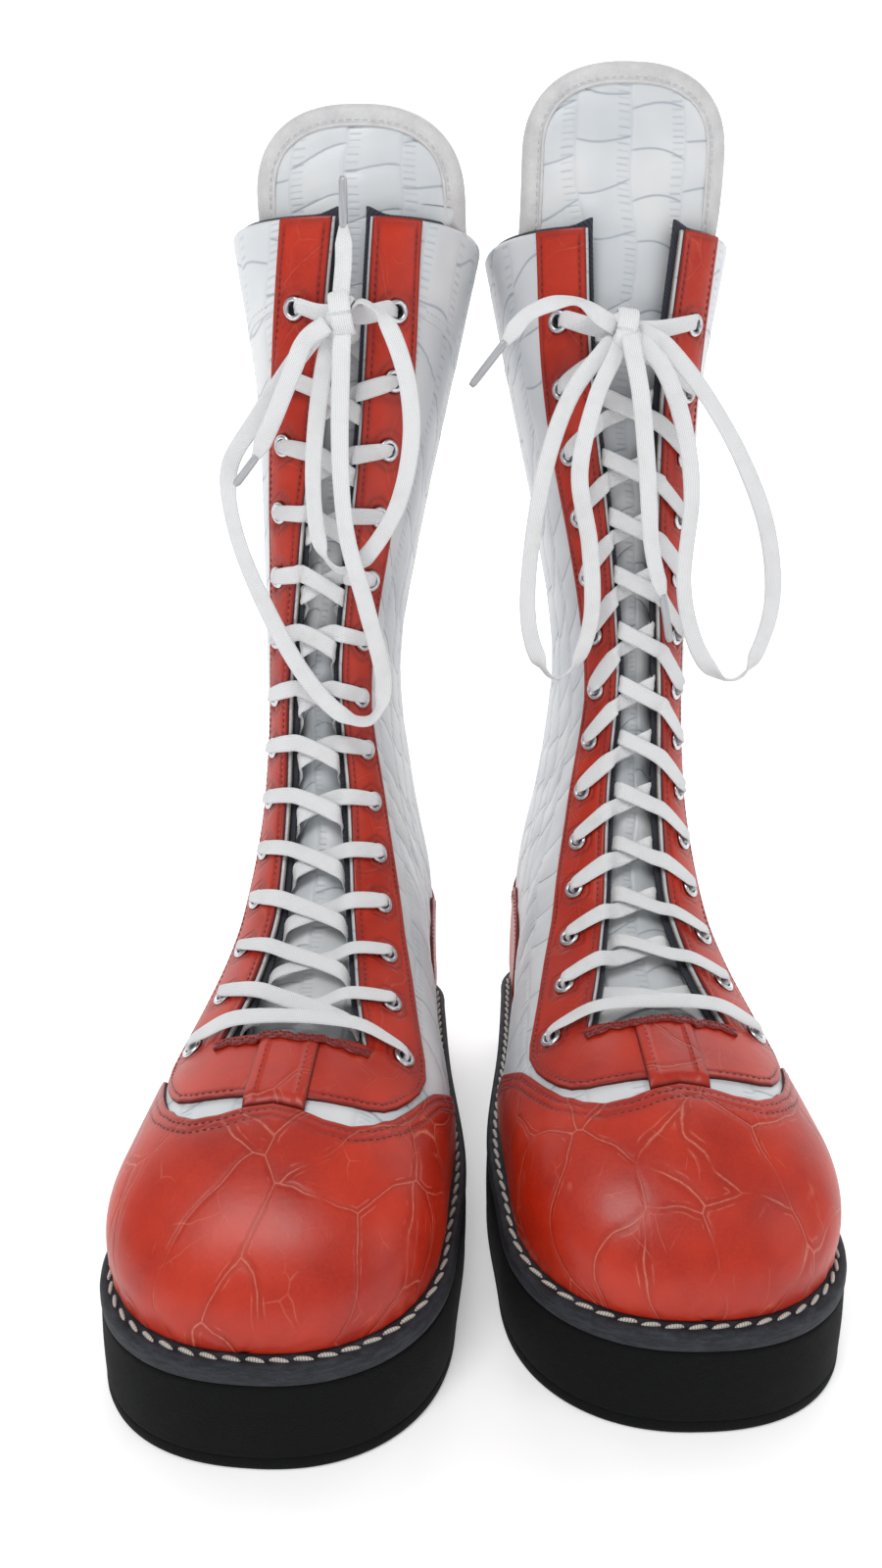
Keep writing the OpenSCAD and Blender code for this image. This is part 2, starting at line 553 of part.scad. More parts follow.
// An eyelet: its flange lies on the facing and its barrel goes through both leathers.
flange_r = 4.4;
flange_low = 0.6;
flange_top = 1.3;
barrel_wall = 0.5;
barrel_below = 0.7;
module eyelet() {
    barrel_h = over_out - base_in + barrel_below + flange_low;
    color("#c9ccd0") {
        rotate_extrude() polygon([
            [eyelet_r, flange_low], [flange_r, flange_low], [flange_r, flange_low + 0.3],
            [flange_r - 0.5, flange_top], [eyelet_r + 0.3, flange_top], [eyelet_r, flange_top - 0.3]]);
        translate([0, 0, base_in - over_out - barrel_below]) difference() {
            cylinder(r = eyelet_r + barrel_wall, h = barrel_h);
            translate([0, 0, -1]) cylinder(r = eyelet_r, h = barrel_h + 2);
        }
    }
}
module eyelets_lateral() for (r = [1:rows]) at_eyelet(r, 1) eyelet();
module eyelets_medial() for (r = [1:rows]) at_eyelet(r, -1) eyelet();

// The laced part. Each route point is [t, s, d, width, thickness].
thin = [3.6, 1.8];
full = [lace_w, lace_t];
// One strand from eyelet (r, side), where it leaves outside, under the other facing to row r - 1.
function strand(r, side) =
    let (ta = row_t(r), tb = row_t(r - 1), sa = side * eyelet_s(r), sb = -side * eyelet_s(r - 1),
         ga = side * gap(ta), gb = -side * gap(tb), level = side > 0 ? 0.3 : -2.1,
         k = abs(ga) < 12 ? 0.7 : 0.5,
         at = function (s) mix(ta, tb, (s - sa) / (sb - sa)))
    [[ta, sa, lace_over, thin[0], thin[1]],
     [at(0.9 * ga), 0.9 * ga, lace_over, full[0], full[1]],
     [at(k * ga), k * ga, level, full[0], full[1]],
     [at(k * gb), k * gb, level, full[0], full[1]],
     [at(0.9 * gb), 0.9 * gb, lace_under, full[0], full[1]],
     [tb, sb, lace_under - 0.4, thin[0], thin[1]]];
function backwards(v) = [for (i = [len(v) - 1:-1:0]) v[i]];
// The same strand the other way: it leaves (r, side) inside and goes over the other facing.
function strand_in(r, side) =
    let (ta = row_t(r), tb = row_t(r - 1), sa = side * eyelet_s(r), sb = -side * eyelet_s(r - 1))
    [for (q = backwards(strand(r, -side)))
        let (f = (q[1] - side * eyelet_s(r - 1)) / (-side * eyelet_s(r) - side * eyelet_s(r - 1)),
             s = mix(sa, sb, f))
        [mix(ta, tb, f), s, q[2], q[3], q[4]]];
function hidden_strand(r, side) =
    let (ta = row_t(r), tb = row_t(r - 1), sa = side * eyelet_s(r), sb = -side * eyelet_s(r - 1),
         level = side > 0 ? -4.3 : -6.7)
    [[ta, sa, lace_under - 0.4, thin[0], thin[1]],
     [mix(ta, tb, 0.12), mix(sa, sb, 0.12), lace_under, full[0], full[1]],
     [mix(ta, tb, 0.4), mix(sa, sb, 0.4), level, full[0], full[1]],
     [mix(ta, tb, 0.6), mix(sa, sb, 0.6), level, full[0], full[1]],
     [mix(ta, tb, 0.88), mix(sa, sb, 0.88), lace_under, full[0], full[1]],
     [tb, sb, lace_under - 0.4, thin[0], thin[1]]];
function run_up(side, r) =
    r < 2 ? [] :
    concat(($boot == 1 && r == rows) || ($boot == 0 && r == 2) ? hidden_strand(r, side) :
           $boot == 1 ? strand(r, side) : strand_in(r, side), run_up(-side, r - 1));
function half_lace(side) =
    let (t = row_t(rows), s = side * eyelet_s(rows))
    concat([[t + 0.06, s * 0.5, lace_over + 0.6, full[0], full[1]],
            [t + 0.03, s * 0.8, lace_over + 0.6, full[0], full[1]],
            [t, s, lace_over, thin[0], thin[1]]],
           run_up(side, rows));
function lace_route() = concat(
    backwards(half_lace(-1)),
    [[row_t(rows) + 0.06, 0, lace_over - 0.6, full[0], full[1]]],
    half_lace(1));
module lace() {
    route = lace_route();
    path = [for (q = route) shell(q[0], q[1], q[2])];
    color("#f4f4f2") ribbon(path, [for (q = route) upward(q[0], q[1])], [for (q = route) [q[3], q[4]]]);
}

// The bow: its knot, two loops and two ends. Points are [outward, y, z] in the boot's frame.
KNOT = [[-9, -50, 354], [-8, -50, 351]];
RIGHT_LOOPS = [
    [[-17, -54, 358], [-26, -54, 350], [-33, -52, 330], [-34, -50, 308], [-28, -49, 284],
     [-15, -48, 265], [-5, -48, 261], [2, -48, 271], [4, -49, 294], [1, -51, 322], [-4, -53, 344]],
    [[0, -55, 347], [10, -54, 336], [25, -48, 318], [38, -44, 299], [36, -45, 275], [25, -47, 247],
     [10, -48, 220], [-5, -49, 204], [-18, -49, 202], [-23, -51, 218], [-17, -55, 247],
     [-10, -57, 275], [-8, -57, 305], [-9, -56, 340]]
];
LEFT_LOOPS = [
    [[-16, -53, 343], [-28, -53, 327], [-37, -52, 300], [-42, -49, 262], [-41, -48, 235],
     [-32, -47, 217], [-22, -47, 222], [-16, -48, 242], [-18, -50, 270], [-24, -56, 298],
     [-19, -57, 325], [-12, -56, 341]],
    [[1, -55, 344], [9, -55, 334], [17, -53, 315], [22, -51, 290], [21, -50, 255], [28, -48, 230],
     [40, -45, 216], [52, -42, 219], [61, -40, 245], [57, -41, 275], [44, -44, 303],
     [27, -48, 327], [12, -50, 343], [1, -51, 351]]
];
RIGHT_ENDS = [
    [[-9, -54, 362], [-10, -54, 372], [-10, -53, 384]],
    [[4, -58, 344], [9, -58, 334], [17, -57, 317], [25, -54, 303]]
];
LEFT_ENDS = [
    [[-17, -54, 355], [-28, -54, 361], [-44, -52, 357], [-54, -50, 346]],
    [[-6, -60, 343], [-2, -60, 326], [2, -58, 300], [6, -55, 270], [12, -53, 250]]
];
LOOPS = [RIGHT_LOOPS, LEFT_LOOPS];
ENDS = [RIGHT_ENDS, LEFT_ENDS];
// Where the tip of each end's aglet points to.
AGLET_TO = [[[-10, -53, 400], [34, -51, 293]], [[-66, -45, 331], [16, -52, 232]]];
aglet_r = 1.5;
knot_r = 6;
knot_t = 9;
module loose_ribbon(path) {
    across_path = [for (i = [0:len(path) - 1])
        let (dir = path[min(i + 1, len(path) - 1)] - path[max(i - 1, 0)]) unit(cross(dir, [0, 1, 0]))];
    ribbon(path, across_path, [for (p = path) full]);
}
module bow() {
    color("#f4f4f2") {
        translate(KNOT[$boot]) rotate([90, 0, 0]) cylinder(r = knot_r, h = knot_t, center = true);
        for (path = LOOPS[$boot]) loose_ribbon(path);
        for (path = ENDS[$boot]) loose_ribbon(path);
        for (side = [-1, 1]) {
            eye = shell(row_t(1), side * (eyelet_s(1) - 2), lace_over + 1);
            toward = unit(eye - KNOT[$boot]);
            beside = KNOT[$boot] + (knot_r + 1) * toward;
            loose_ribbon([eye, mix(eye, beside, 0.5) - [0, 1.5, 0], beside]);
        }
    }
}
module aglets() {
    color("#d9d9d6") for (i = [0:1]) {
        last = ENDS[$boot][i][len(ENDS[$boot][i]) - 1];
        dir = AGLET_TO[$boot][i] - last;
        n = unit(dir);
        translate(last + 0.2 * n) rotate([0, acos(n[2]), atan2(n[1], n[0])])
            cylinder(r = aglet_r, h = norm(dir) - 0.2);
    }
}

// Each boot in its place, with the pair's floor outline centred on the origin.
function turned(p, a) = [p[0] * cos(a) - p[1] * sin(a), p[0] * sin(a) + p[1] * cos(a)];
function spot(boot) = boot == 0 ? [-half_stance, -stagger / 2] : [half_stance, stagger / 2];
function facing_angle(boot) = boot == 0 ? -toe_out - 1 : toe_out - 1;
FOOTPRINT = [for (boot = [0, 1]) for (p = plan(welt_out)) spot(boot) + turned(p, facing_angle(boot))];
xs_all = [for (p = FOOTPRINT) p[0]];
ys_all = [for (p = FOOTPRINT) p[1]];
centre = [(min(xs_all) + max(xs_all)) / 2, (min(ys_all) + max(ys_all)) / 2];
module placed(boot) {
    $boot = boot;
    at = spot(boot) - centre;
    translate([at[0], at[1], 0]) rotate(facing_angle(boot)) mirror([boot == 0 ? 1 : 0, 0, 0]) children();
}
module right() placed(0) children();
module left() placed(1) children();

right() outsole();  // right_outsole
right() platform();  // right_platform
right() welt();  // right_welt
right() welt_stitching();  // right_welt_stitching
right() bottom_filler();  // right_bottom_filler
right() shank();  // right_shank
right() insole_board();  // right_insole_board
right() sock_liner();  // right_sock_liner
right() vamp();  // right_vamp
right() toe_puff();  // right_toe_puff
right() quarter_lateral();  // right_quarter_lateral
right() quarter_medial();  // right_quarter_medial
right() heel_counter();  // right_heel_counter
right() heel_stiffener();  // right_heel_stiffener
right() back_strip();  // right_back_strip
right() eyestay_lateral();  // right_eyestay_lateral
right() eyestay_medial();  // right_eyestay_medial
right() throat_strap();  // right_throat_strap
right() collar_band();  // right_collar_band
right() lining();  // right_lining
right() tongue();  // right_tongue
right() tongue_top();  // right_tongue_top
right() tongue_binding();  // right_tongue_binding
right() eyelets_lateral();  // right_eyelets_lateral
right() eyelets_medial();  // right_eyelets_medial
right() lace();  // right_lace
right() bow();  // right_bow
right() aglets();  // right_aglets
left() outsole();  // left_outsole
left() platform();  // left_platform
left() welt();  // left_welt
left() welt_stitching();  // left_welt_stitching
left() bottom_filler();  // left_bottom_filler
left() shank();  // left_shank
left() insole_board();  // left_insole_board
left() sock_liner();  // left_sock_liner
left() vamp();  // left_vamp
left() toe_puff();  // left_toe_puff
left() quarter_lateral();  // left_quarter_lateral
left() quarter_medial();  // left_quarter_medial
left() heel_counter();  // left_heel_counter
left() heel_stiffener();  // left_heel_stiffener
left() back_strip();  // left_back_strip
left() eyestay_lateral();  // left_eyestay_lateral
left() eyestay_medial();  // left_eyestay_medial
left() throat_strap();  // left_throat_strap
left() collar_band();  // left_collar_band
left() lining();  // left_lining
left() tongue();  // left_tongue
left() tongue_top();  // left_tongue_top
left() tongue_binding();  // left_tongue_binding
left() eyelets_lateral();  // left_eyelets_lateral
left() eyelets_medial();  // left_eyelets_medial
left() lace();  // left_lace
left() bow();  // left_bow
left() aglets();  // left_aglets
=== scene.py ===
import math

import bpy
import numpy as np
from mathutils import Matrix, Vector
from mathutils.kdtree import KDTree


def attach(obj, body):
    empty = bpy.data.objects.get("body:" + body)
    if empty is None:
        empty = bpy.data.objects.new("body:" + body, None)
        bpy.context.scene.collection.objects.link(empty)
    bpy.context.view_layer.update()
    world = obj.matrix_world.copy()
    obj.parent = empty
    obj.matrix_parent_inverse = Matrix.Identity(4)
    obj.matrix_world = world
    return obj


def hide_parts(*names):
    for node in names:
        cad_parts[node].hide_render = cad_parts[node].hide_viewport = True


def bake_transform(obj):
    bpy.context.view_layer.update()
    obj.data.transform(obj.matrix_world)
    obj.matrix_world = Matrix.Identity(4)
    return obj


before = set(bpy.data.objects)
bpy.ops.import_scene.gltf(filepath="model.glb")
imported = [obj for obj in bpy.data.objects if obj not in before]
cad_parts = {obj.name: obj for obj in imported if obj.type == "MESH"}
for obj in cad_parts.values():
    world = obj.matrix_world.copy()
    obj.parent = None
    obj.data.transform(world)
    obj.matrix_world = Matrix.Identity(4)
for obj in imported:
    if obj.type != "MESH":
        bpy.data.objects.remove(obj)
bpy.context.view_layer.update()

# Boot coordinates are in mm: +X is the outer side, the toes point to -Y, the floor is z = 0.
# The leather is a smooth shell S(t, s), the same one that the CAD nodes follow: t runs from the
# toe tip (0) up the front to the rim (8), and s is mm round from the front centre line.
BOOTS = ("right", "left")
SIDES = {"lateral": 1, "medial": -1}

# ---------------------------------------------------------------- sizes, as in the CAD part
OUTSOLE_H, PLATFORM_H, WELT_H, WELT_OUT = 5.0, 25.5, 7.0, 6.5
WELT_TOP = OUTSOLE_H + PLATFORM_H + WELT_H
FEATHER_Z = WELT_TOP + 0.3
RIM_Z = 390.0
T_END, THROAT_T, THROAT_TOP_T = 8.0, 1.6, 1.66
THROAT_GAP = 27  # mm from the centre line to the throat's side
PAST_RIM = 59  # mm for each unit of t, past the rim
LEATHER, LAYER_GAP, FACING_W, STRAP_W = 1.5, 0.3, 24.0, 21.0
BACK_STRIP_W, COLLAR_H = 13.0, 28.0
TONGUE_W, TONGUE_T, TONGUE_TIP = 41.0, 3.0, (432.0, 452.0)
ROWS, ROW_PITCH, LACE_W, LACE_T = 14, 23.0, 6.8, 1.3
HALF_STANCE, STAGGER, TOE_OUT = 58.5, 15.0, 3.5
RIDGE = [[-154, 91], [-108, 104.5], [-68, 128], [-41, 172], [-34.5, 225], [-35, 278], [-37, 331],
         [-40, RIM_Z]]
FEATHER = [[53.5, -154], [53.5, -98], [42, -22], [34, 45]]
HEEL_Y, TOE_Y, TOE_CAP, TOE_SQUARE, TOE_SLOPE = 79.0, -209.0, 55.0, 2.3, 0.25
BACK = [79, 77.5, 69, 65, 66.5, 71, 78]
SHAFT_W = [35, 36.5, 32, 29, 33, 40, 50.5]
LEAN = [0, 1.5, 6, 8, 3, -3, -5.2]
BACK_Z = [FEATHER_Z, 150, 265, RIM_Z]
FOOT_W = [55.5, 54.5, 44.5, 36, 35]
FOOT_Y = (-154, 79)
ROUND = [0.66, 0.62, 0.47, 0.4, 0.46, 0.52, 0.5, 0.5]
SQUARE = [2.3, 2.3, 2.2, 2.1, 2.1, 2.2, 2.3, 2.4]
GAPS = ([[1.66, 27], [2.2, 21], [3, 16], [4, 14.5], [5, 12.5], [6, 11], [7, 9], [8, 7.5]],
        [[1.66, 27], [2.2, 20], [3, 13.5], [4, 12.5], [5, 10.5], [6, 11], [7, 15], [8, 19.5]])
TWIST = ([[1, 0], [5, 0], [6, -1], [7, -2.5], [7.5, -4], [8, -6.5]],
         [[1, 0], [6, 0], [7, 1], [7.5, 1.6], [8, 3]])
TONGUE_SHIFT = (-6.5, 0.0)
LOBE = [[1, 12], [1.01, 22], [1.04, 31], [1.1, 37], [1.2, 41.5], [1.35, 46], [1.5, 49.5], [1.7, 52],
        [1.85, 51]]
VAMP_EDGE = [[0, 0.96], [0.1, 0.94], [0.2, 0.91], [0.3, 0.91], [0.38, 0.96], [0.44, 1.05], [0.5, 1.27],
             [0.58, 1.65], [0.72, 2], [0.86, 2.2], [1, 2.35]]
QUARTER_EDGE = [[0.8, 30], [1, 42], [1.3, 55], [1.7, 85], [2, 118], [2.1, 400]]
COUNTER = [[3.25, 6], [3.4, 26], [3.6, 42], [4, 58], [4.5, 71], [5, 76], [5.25, 52], [5.5, 24], [5.65, 13]]
BASE_IN, OVER_IN = -LEATHER, LAYER_GAP
OVER_OUT = OVER_IN + LEATHER
STRAP_IN = OVER_OUT + LAYER_GAP
STIFF_IN = BASE_IN - LAYER_GAP - 1
LINING_OUT = STIFF_IN - LAYER_GAP
LINING_IN = LINING_OUT - 1.2
LACE_UNDER = LINING_IN - 1 - LACE_T / 2
TONGUE_OUT = LACE_UNDER - LACE_T / 2 - 2.6
LACE_OVER = OVER_OUT + 1.7


# ---------------------------------------------------------------- curves
def spline(points, t):
    """A smooth curve through the points, with t = 0 at the first and 1 more at each next one."""
    v = np.asarray(points, float)
    n = len(v) - 1
    t = np.asarray(t, float)
    i = np.clip(np.floor(t).astype(int), 0, n - 1)
    u = t - i
    if v.ndim == 2:
        u = u[..., None]
    w = np.concatenate([[2 * v[0] - v[1]], v, [2 * v[-1] - v[-2]]])
    a, b, c, e = w[i], w[i + 1], w[i + 2], w[i + 3]
    straight = 2 * b + (c - a) * u
    return 0.5 * (straight + (2 * a - 5 * b + 4 * c - e) * u ** 2 + (3 * b - a - 3 * c + e) * u ** 3)


def table(rows, x):
    """The second column at x of the first, along straight lines."""
    r = np.asarray(rows, float)
    return np.interp(x, r[:, 0], r[:, 1])


def soft_table(rows, blur):
    """A table's line with its corners rounded over blur, as a function."""
    r = np.asarray(rows, float)
    xs = np.linspace(r[0, 0], r[-1, 0], 1200)
    ys = table(rows, xs)
    reach = max(1, int(blur / (xs[1] - xs[0])))
    k = np.hanning(2 * reach + 3)
    left, right = 2 * ys[0] - ys[reach + 1:0:-1], 2 * ys[-1] - ys[-2:-reach - 3:-1]
    smoothed = np.convolve(np.concatenate([left, ys, right]), k / k.sum(), "valid")
    return lambda x: np.interp(x, xs, smoothed)


def smooth01(k):
    c = np.clip(k, 0, 1)
    return c * c * (3 - 2 * c)


def bump_at(x, centre, width):
    return np.exp(-((x - centre) / width) ** 2)


def distance_along(p):
    """How far each point of a line lies from its start."""
    return np.concatenate([[0], np.cumsum(np.linalg.norm(np.diff(p, axis=0), axis=1))])


def points_at(p, run, at):
    """The points of a line, whose own distances are run, at other distances."""
    return np.stack([np.interp(at, run, p[:, c]) for c in range(p.shape[1])], 1)


def round_in(k, n):
    """From almost 0 at k = 0 round to 1 at k = 1: a quarter ellipse at n = 2, squarer above."""
    return np.maximum(0.00001, 1 - (1 - np.clip(k, 0, 1)) ** n) ** (1 / n)


def height_share(z):
    return (z - FEATHER_Z) / (RIM_Z - FEATHER_Z)


def by_height(v, z):
    return spline(v, (len(v) - 1) * np.clip(height_share(z), 0, 1))


def full_width(y, z):
    """Half the leather's width at (y, z), from the foot's plan to the shaft."""
    foot = spline(FOOT_W, (len(FOOT_W) - 1) * np.clip((y - FOOT_Y[0]) / (FOOT_Y[1] - FOOT_Y[0]), 0, 1))
    up = smooth01((z - FEATHER_Z - 8) / 115)
    tuck = 1 - 0.04 * (1 - np.clip((z - FEATHER_Z) / 14, 0, 1)) ** 2
    corner = 34 + 25 * height_share(z)
    side = foot + (by_height(SHAFT_W, z) - foot) * up
    return side * tuck * round_in((by_height(BACK, z) - y) / corner, 2.3)


# ---------------------------------------------------------------- the shell
T_N, S_N, ARC_N = 640, 160, 200


def half_section(t):
    """The outer half of the section at t, from the front line to the feather edge or the back seam."""
    if t < 1:
        k = 1 - math.cos(math.pi / 2 * t)
        e = float(round_in(max(k, 1e-7), TOE_SQUARE))
        y = TOE_Y + TOE_CAP * k
        rise = RIDGE[0][1] - FEATHER_Z - TOE_CAP * (1 - k) * TOE_SLOPE
        front, base, n, r = (y, FEATHER_Z + e * rise), (y, FEATHER_Z), TOE_SQUARE, ROUND[0]
    else:
        e, n, r = 1.0, float(spline(SQUARE, t - 1)), float(spline(ROUND, t - 1))
        front = spline(RIDGE, t - 1)
        if t < 4:
            base = (float(spline(FEATHER, t - 1)[1]), FEATHER_Z)
        elif t < 5:
            base = (FEATHER[3][1] + (HEEL_Y - FEATHER[3][1]) * math.sin(math.pi / 2 * (t - 4)), FEATHER_Z)
        else:
            z = float(spline(BACK_Z, t - 5))
            base = (float(by_height(BACK, z)), z)
    q = (1 - np.cos(np.linspace(0, math.pi, ARC_N + 1))) / 2
    y, z = front[0] + (base[0] - front[0]) * q, front[1] + (base[1] - front[1]) * q
    x = e * full_width(y, z) * round_in(q / r, n)
    x[0] = 0
    if t >= 5:
        x[-1] = 0
    return np.stack([x, y, z], 1)


def unit(v):
    return v / np.maximum(np.linalg.norm(v, axis=-1, keepdims=True), 1e-9)


def build_shell():
    """Even grids of points and normals over half the leather, and the half girth at each t."""
    grid, girth = np.zeros((T_N + 1, S_N + 1, 3)), np.zeros(T_N + 1)
    for i in range(T_N + 1):
        p = half_section(T_END * i / T_N)
        run = distance_along(p)
        girth[i] = run[-1]
        grid[i] = points_at(p, run, np.linspace(0, run[-1], S_N + 1))
    flip = np.array([-1, 1, 1])
    across = np.empty_like(grid)
    across[:, 1:-1] = grid[:, 2:] - grid[:, :-2]
    across[:, 0] = grid[:, 1] - grid[:, 1] * flip
    closed = T_N * 5 // 8
    across[:closed, -1] = grid[:closed, -1] - grid[:closed, -2]
    across[closed:, -1] = grid[closed:, -2] * flip - grid[closed:, -2]
    along = np.gradient(grid, axis=0)
    normal = unit(np.cross(across, along))
    for _ in range(6):  # evens out the facets of the finite differences
        normal[1:-1] = unit((normal[:-2] + 2 * normal[1:-1] + normal[2:]) / 4)
    return grid, normal, girth


GRID, NORMAL, GIRTH = build_shell()
FRONT = distance_along(GRID[:, 0])
T_OF = np.linspace(0, T_END, T_N + 1)


def girth(t):
    return np.interp(t, T_OF, GIRTH)


def front_run(t):
    """The distance up the front line to t, in mm."""
    return np.interp(t, T_OF, FRONT) + np.maximum(np.asarray(t) - T_END, 0) * PAST_RIM


def on_grid(grid, t, s):
    """A grid's value between its points."""
    x = np.maximum(t, 0) * T_N / T_END
    i = np.minimum(np.floor(x).astype(int), T_N - 1)
    y = np.clip(s / girth(t), 0, 1) * S_N
    j = np.minimum(np.floor(y).astype(int), S_N - 1)
    u, v = (x - i)[..., None], (y - j)[..., None]
    low = grid[i, j] * (1 - v) + grid[i, j + 1] * v
    return low * (1 - u) + (grid[i + 1, j] * (1 - v) + grid[i + 1, j + 1] * v) * u


SOFTNESS = 0.35  # how far the tables' corners are rounded, in t
TWISTS = [soft_table(rows, SOFTNESS) for rows in TWIST]
SOFT_GAPS = [soft_table(rows, SOFTNESS) for rows in GAPS]
worked_on = {"boot": 0}  # the boot that is being made


def twisted(t, s):
    """Sideways move of the worn boot's front line near the rim, fading out towards the back seam."""
    return s + TWISTS[worked_on["boot"]](t) * (1 - np.clip(np.abs(s) / girth(t), 0, 1))


def outward(t, s):
    """The direction straight out of the leather."""
    t, s = np.broadcast_arrays(np.asarray(t, float), np.asarray(s, float))
    s = twisted(t, s)
    n = unit(on_grid(NORMAL, np.minimum(t, T_END), np.abs(s)))
    return n * np.stack([np.where(s < 0, -1, 1), np.ones_like(s), np.ones_like(s)], -1)


def shell(t, s, d):
    """Points d mm outside the leather at (t, s). Negative s is the inner side; t may pass the rim."""
    t, s, d = np.broadcast_arrays(np.asarray(t, float), np.asarray(s, float), np.asarray(d, float))
    s = twisted(t, s)
    p = on_grid(GRID, t, np.abs(s)) + d[..., None] * unit(on_grid(NORMAL, np.minimum(t, T_END), np.abs(s)))
    p[..., 0] = np.where(s < 0, -1, 1) * p[..., 0] + by_height(LEAN, p[..., 2])
    return p


def upward(t, s):
    """The direction up along the leather."""
    return unit(shell(np.minimum(np.asarray(t) + 0.05, T_END), s, 0) - shell(np.asarray(t) - 0.05, s, 0))


FIRST_ROW = 31  # mm from the rim down to the first eyelets


def row_t(r):
    """The t of eyelet row r, counted down from the rim."""
    return float(np.interp(FRONT[-1] - FIRST_ROW - (r - 1) * ROW_PITCH, FRONT, T_OF))


def gap(t, boot):
    """Half the lacing gap. Below the throat the two sides meet."""
    t = np.asarray(t, float)
    opened = np.clip((t - THROAT_T) / 0.06, 0, 1)
    throat = 0.2 + (THROAT_GAP - 0.2) * opened
    return np.where(t < THROAT_TOP_T, throat, np.minimum(SOFT_GAPS[boot](t), THROAT_GAP))


def facing_wide(t):
    """The facing's width, which tapers a little to the rim."""
    return FACING_W * (1 - 0.18 * smooth01((np.asarray(t, float) - 6.5) / 1.5))


def facing_edge(t, boot):
    """The facing's outer edge, with the round lobe at its foot."""
    t = np.asarray(t, float)
    wide = np.minimum(51, gap(t, boot) + facing_wide(t) + 2 * np.maximum(0, 3 - t))
    return np.where(t < LOBE[-1][0], table(LOBE, t), wide)


def eyelet_s(r, boot):
    """The s of an eyelet. The last row sits in the lobes."""
    if r == ROWS:
        return 41.0
    return float(table(GAPS[boot], row_t(r))) + float(facing_wide(row_t(r))) / 2 + 0.8


# ---------------------------------------------------------------- placing
def plan(g, toe_steps, steps):
    """The sole's outline grown by g past the leather's lower edge, as [x, y], all the way round."""
    k = 1 - np.cos(np.radians(np.linspace(0, 90, toe_steps + 1)[1:]))
    toe = np.stack([(FEATHER[0][0] + g) * round_in(k, TOE_SQUARE), TOE_Y - g + (TOE_CAP + g) * k], 1)
    side = spline(FEATHER, np.linspace(0, 3, 10 * steps + 1)[1:]) + [g, 0]
    b = np.radians(np.linspace(0, 90, 9 * steps + 1)[1:-1])
    x, y = FEATHER[-1]
    heel = np.stack([(x + g) * np.cos(b), y + (HEEL_Y + g - y) * np.sin(b)], 1)
    half = np.concatenate([toe, side, heel])
    return np.concatenate([[[0, TOE_Y - g]], half, [[0, HEEL_Y + g]], half[::-1] * [-1, 1]])


ANGLES = [math.radians(-TOE_OUT - 1), math.radians(TOE_OUT - 1)]
SPOTS = np.array([[-HALF_STANCE, -STAGGER / 2], [HALF_STANCE, STAGGER / 2]])


def turned(xy, boot):
    """Boot coordinates turned to how the boot stands."""
    c, s = math.cos(ANGLES[boot]), math.sin(ANGLES[boot])
    return xy @ np.array([[c, s], [-s, c]])


FOOTPRINT = np.concatenate([SPOTS[b] + turned(plan(WELT_OUT, 9, 1), b) for b in (0, 1)])
CENTRE = (FOOTPRINT.min(0) + FOOTPRINT.max(0)) / 2


def place(p, boot):
    """Boot coordinates in mm to the frame's metres. The right boot is mirrored."""
    q = np.array(p, float)
    if boot == 0:
        q[..., 0] *= -1
    q[..., :2] = turned(q[..., :2], boot) + SPOTS[boot] - CENTRE
    return q / 1000


# ---------------------------------------------------------------- formulas for numbers and nodes alike
class Socket:
    """A node's output that can be used in arithmetic."""

    def __init__(self, tree, out):
        self.tree, self.out = tree, out

    def __add__(self, o):
        return self.tree.math("ADD", self, o)

    def __sub__(self, o):
        return self.tree.math("SUBTRACT", self, o)

    def __rsub__(self, o):
        return self.tree.math("SUBTRACT", o, self)

    def __mul__(self, o):
        return self.tree.math("MULTIPLY", self, o)

    def __truediv__(self, o):
        return self.tree.math("DIVIDE", self, o)

    def __neg__(self):
        return self.tree.math("MULTIPLY", self, -1.0)

    __radd__, __rmul__ = __add__, __mul__


def either(op, numpy_way):
    """A function that works on numbers and on node outputs."""
    def call(*args):
        trees = [a.tree for a in args if isinstance(a, Socket)]
        return trees[0].math(op, *args) if trees else numpy_way(*args)
    return call


f_sin = either("SINE", np.sin)
f_floor = either("FLOOR", np.floor)
f_fract = either("FRACT", lambda x: x - np.floor(x))
f_abs = either("ABSOLUTE", np.abs)
f_min = either("MINIMUM", np.minimum)
f_max = either("MAXIMUM", np.maximum)
f_exp = either("EXPONENT", np.exp)


def hill(x, width):
    """1 at x = 0, falling to nothing over about width."""
    return f_exp(-1.0 * (x / width) * (x / width))


def ramp(x, lo, hi):
    return f_min(f_max((x - lo) / (hi - lo), 0.0), 1.0)


PLATE_W, PLATE_L, NOTCH_PITCH = 21.0, 19.0, 2.5


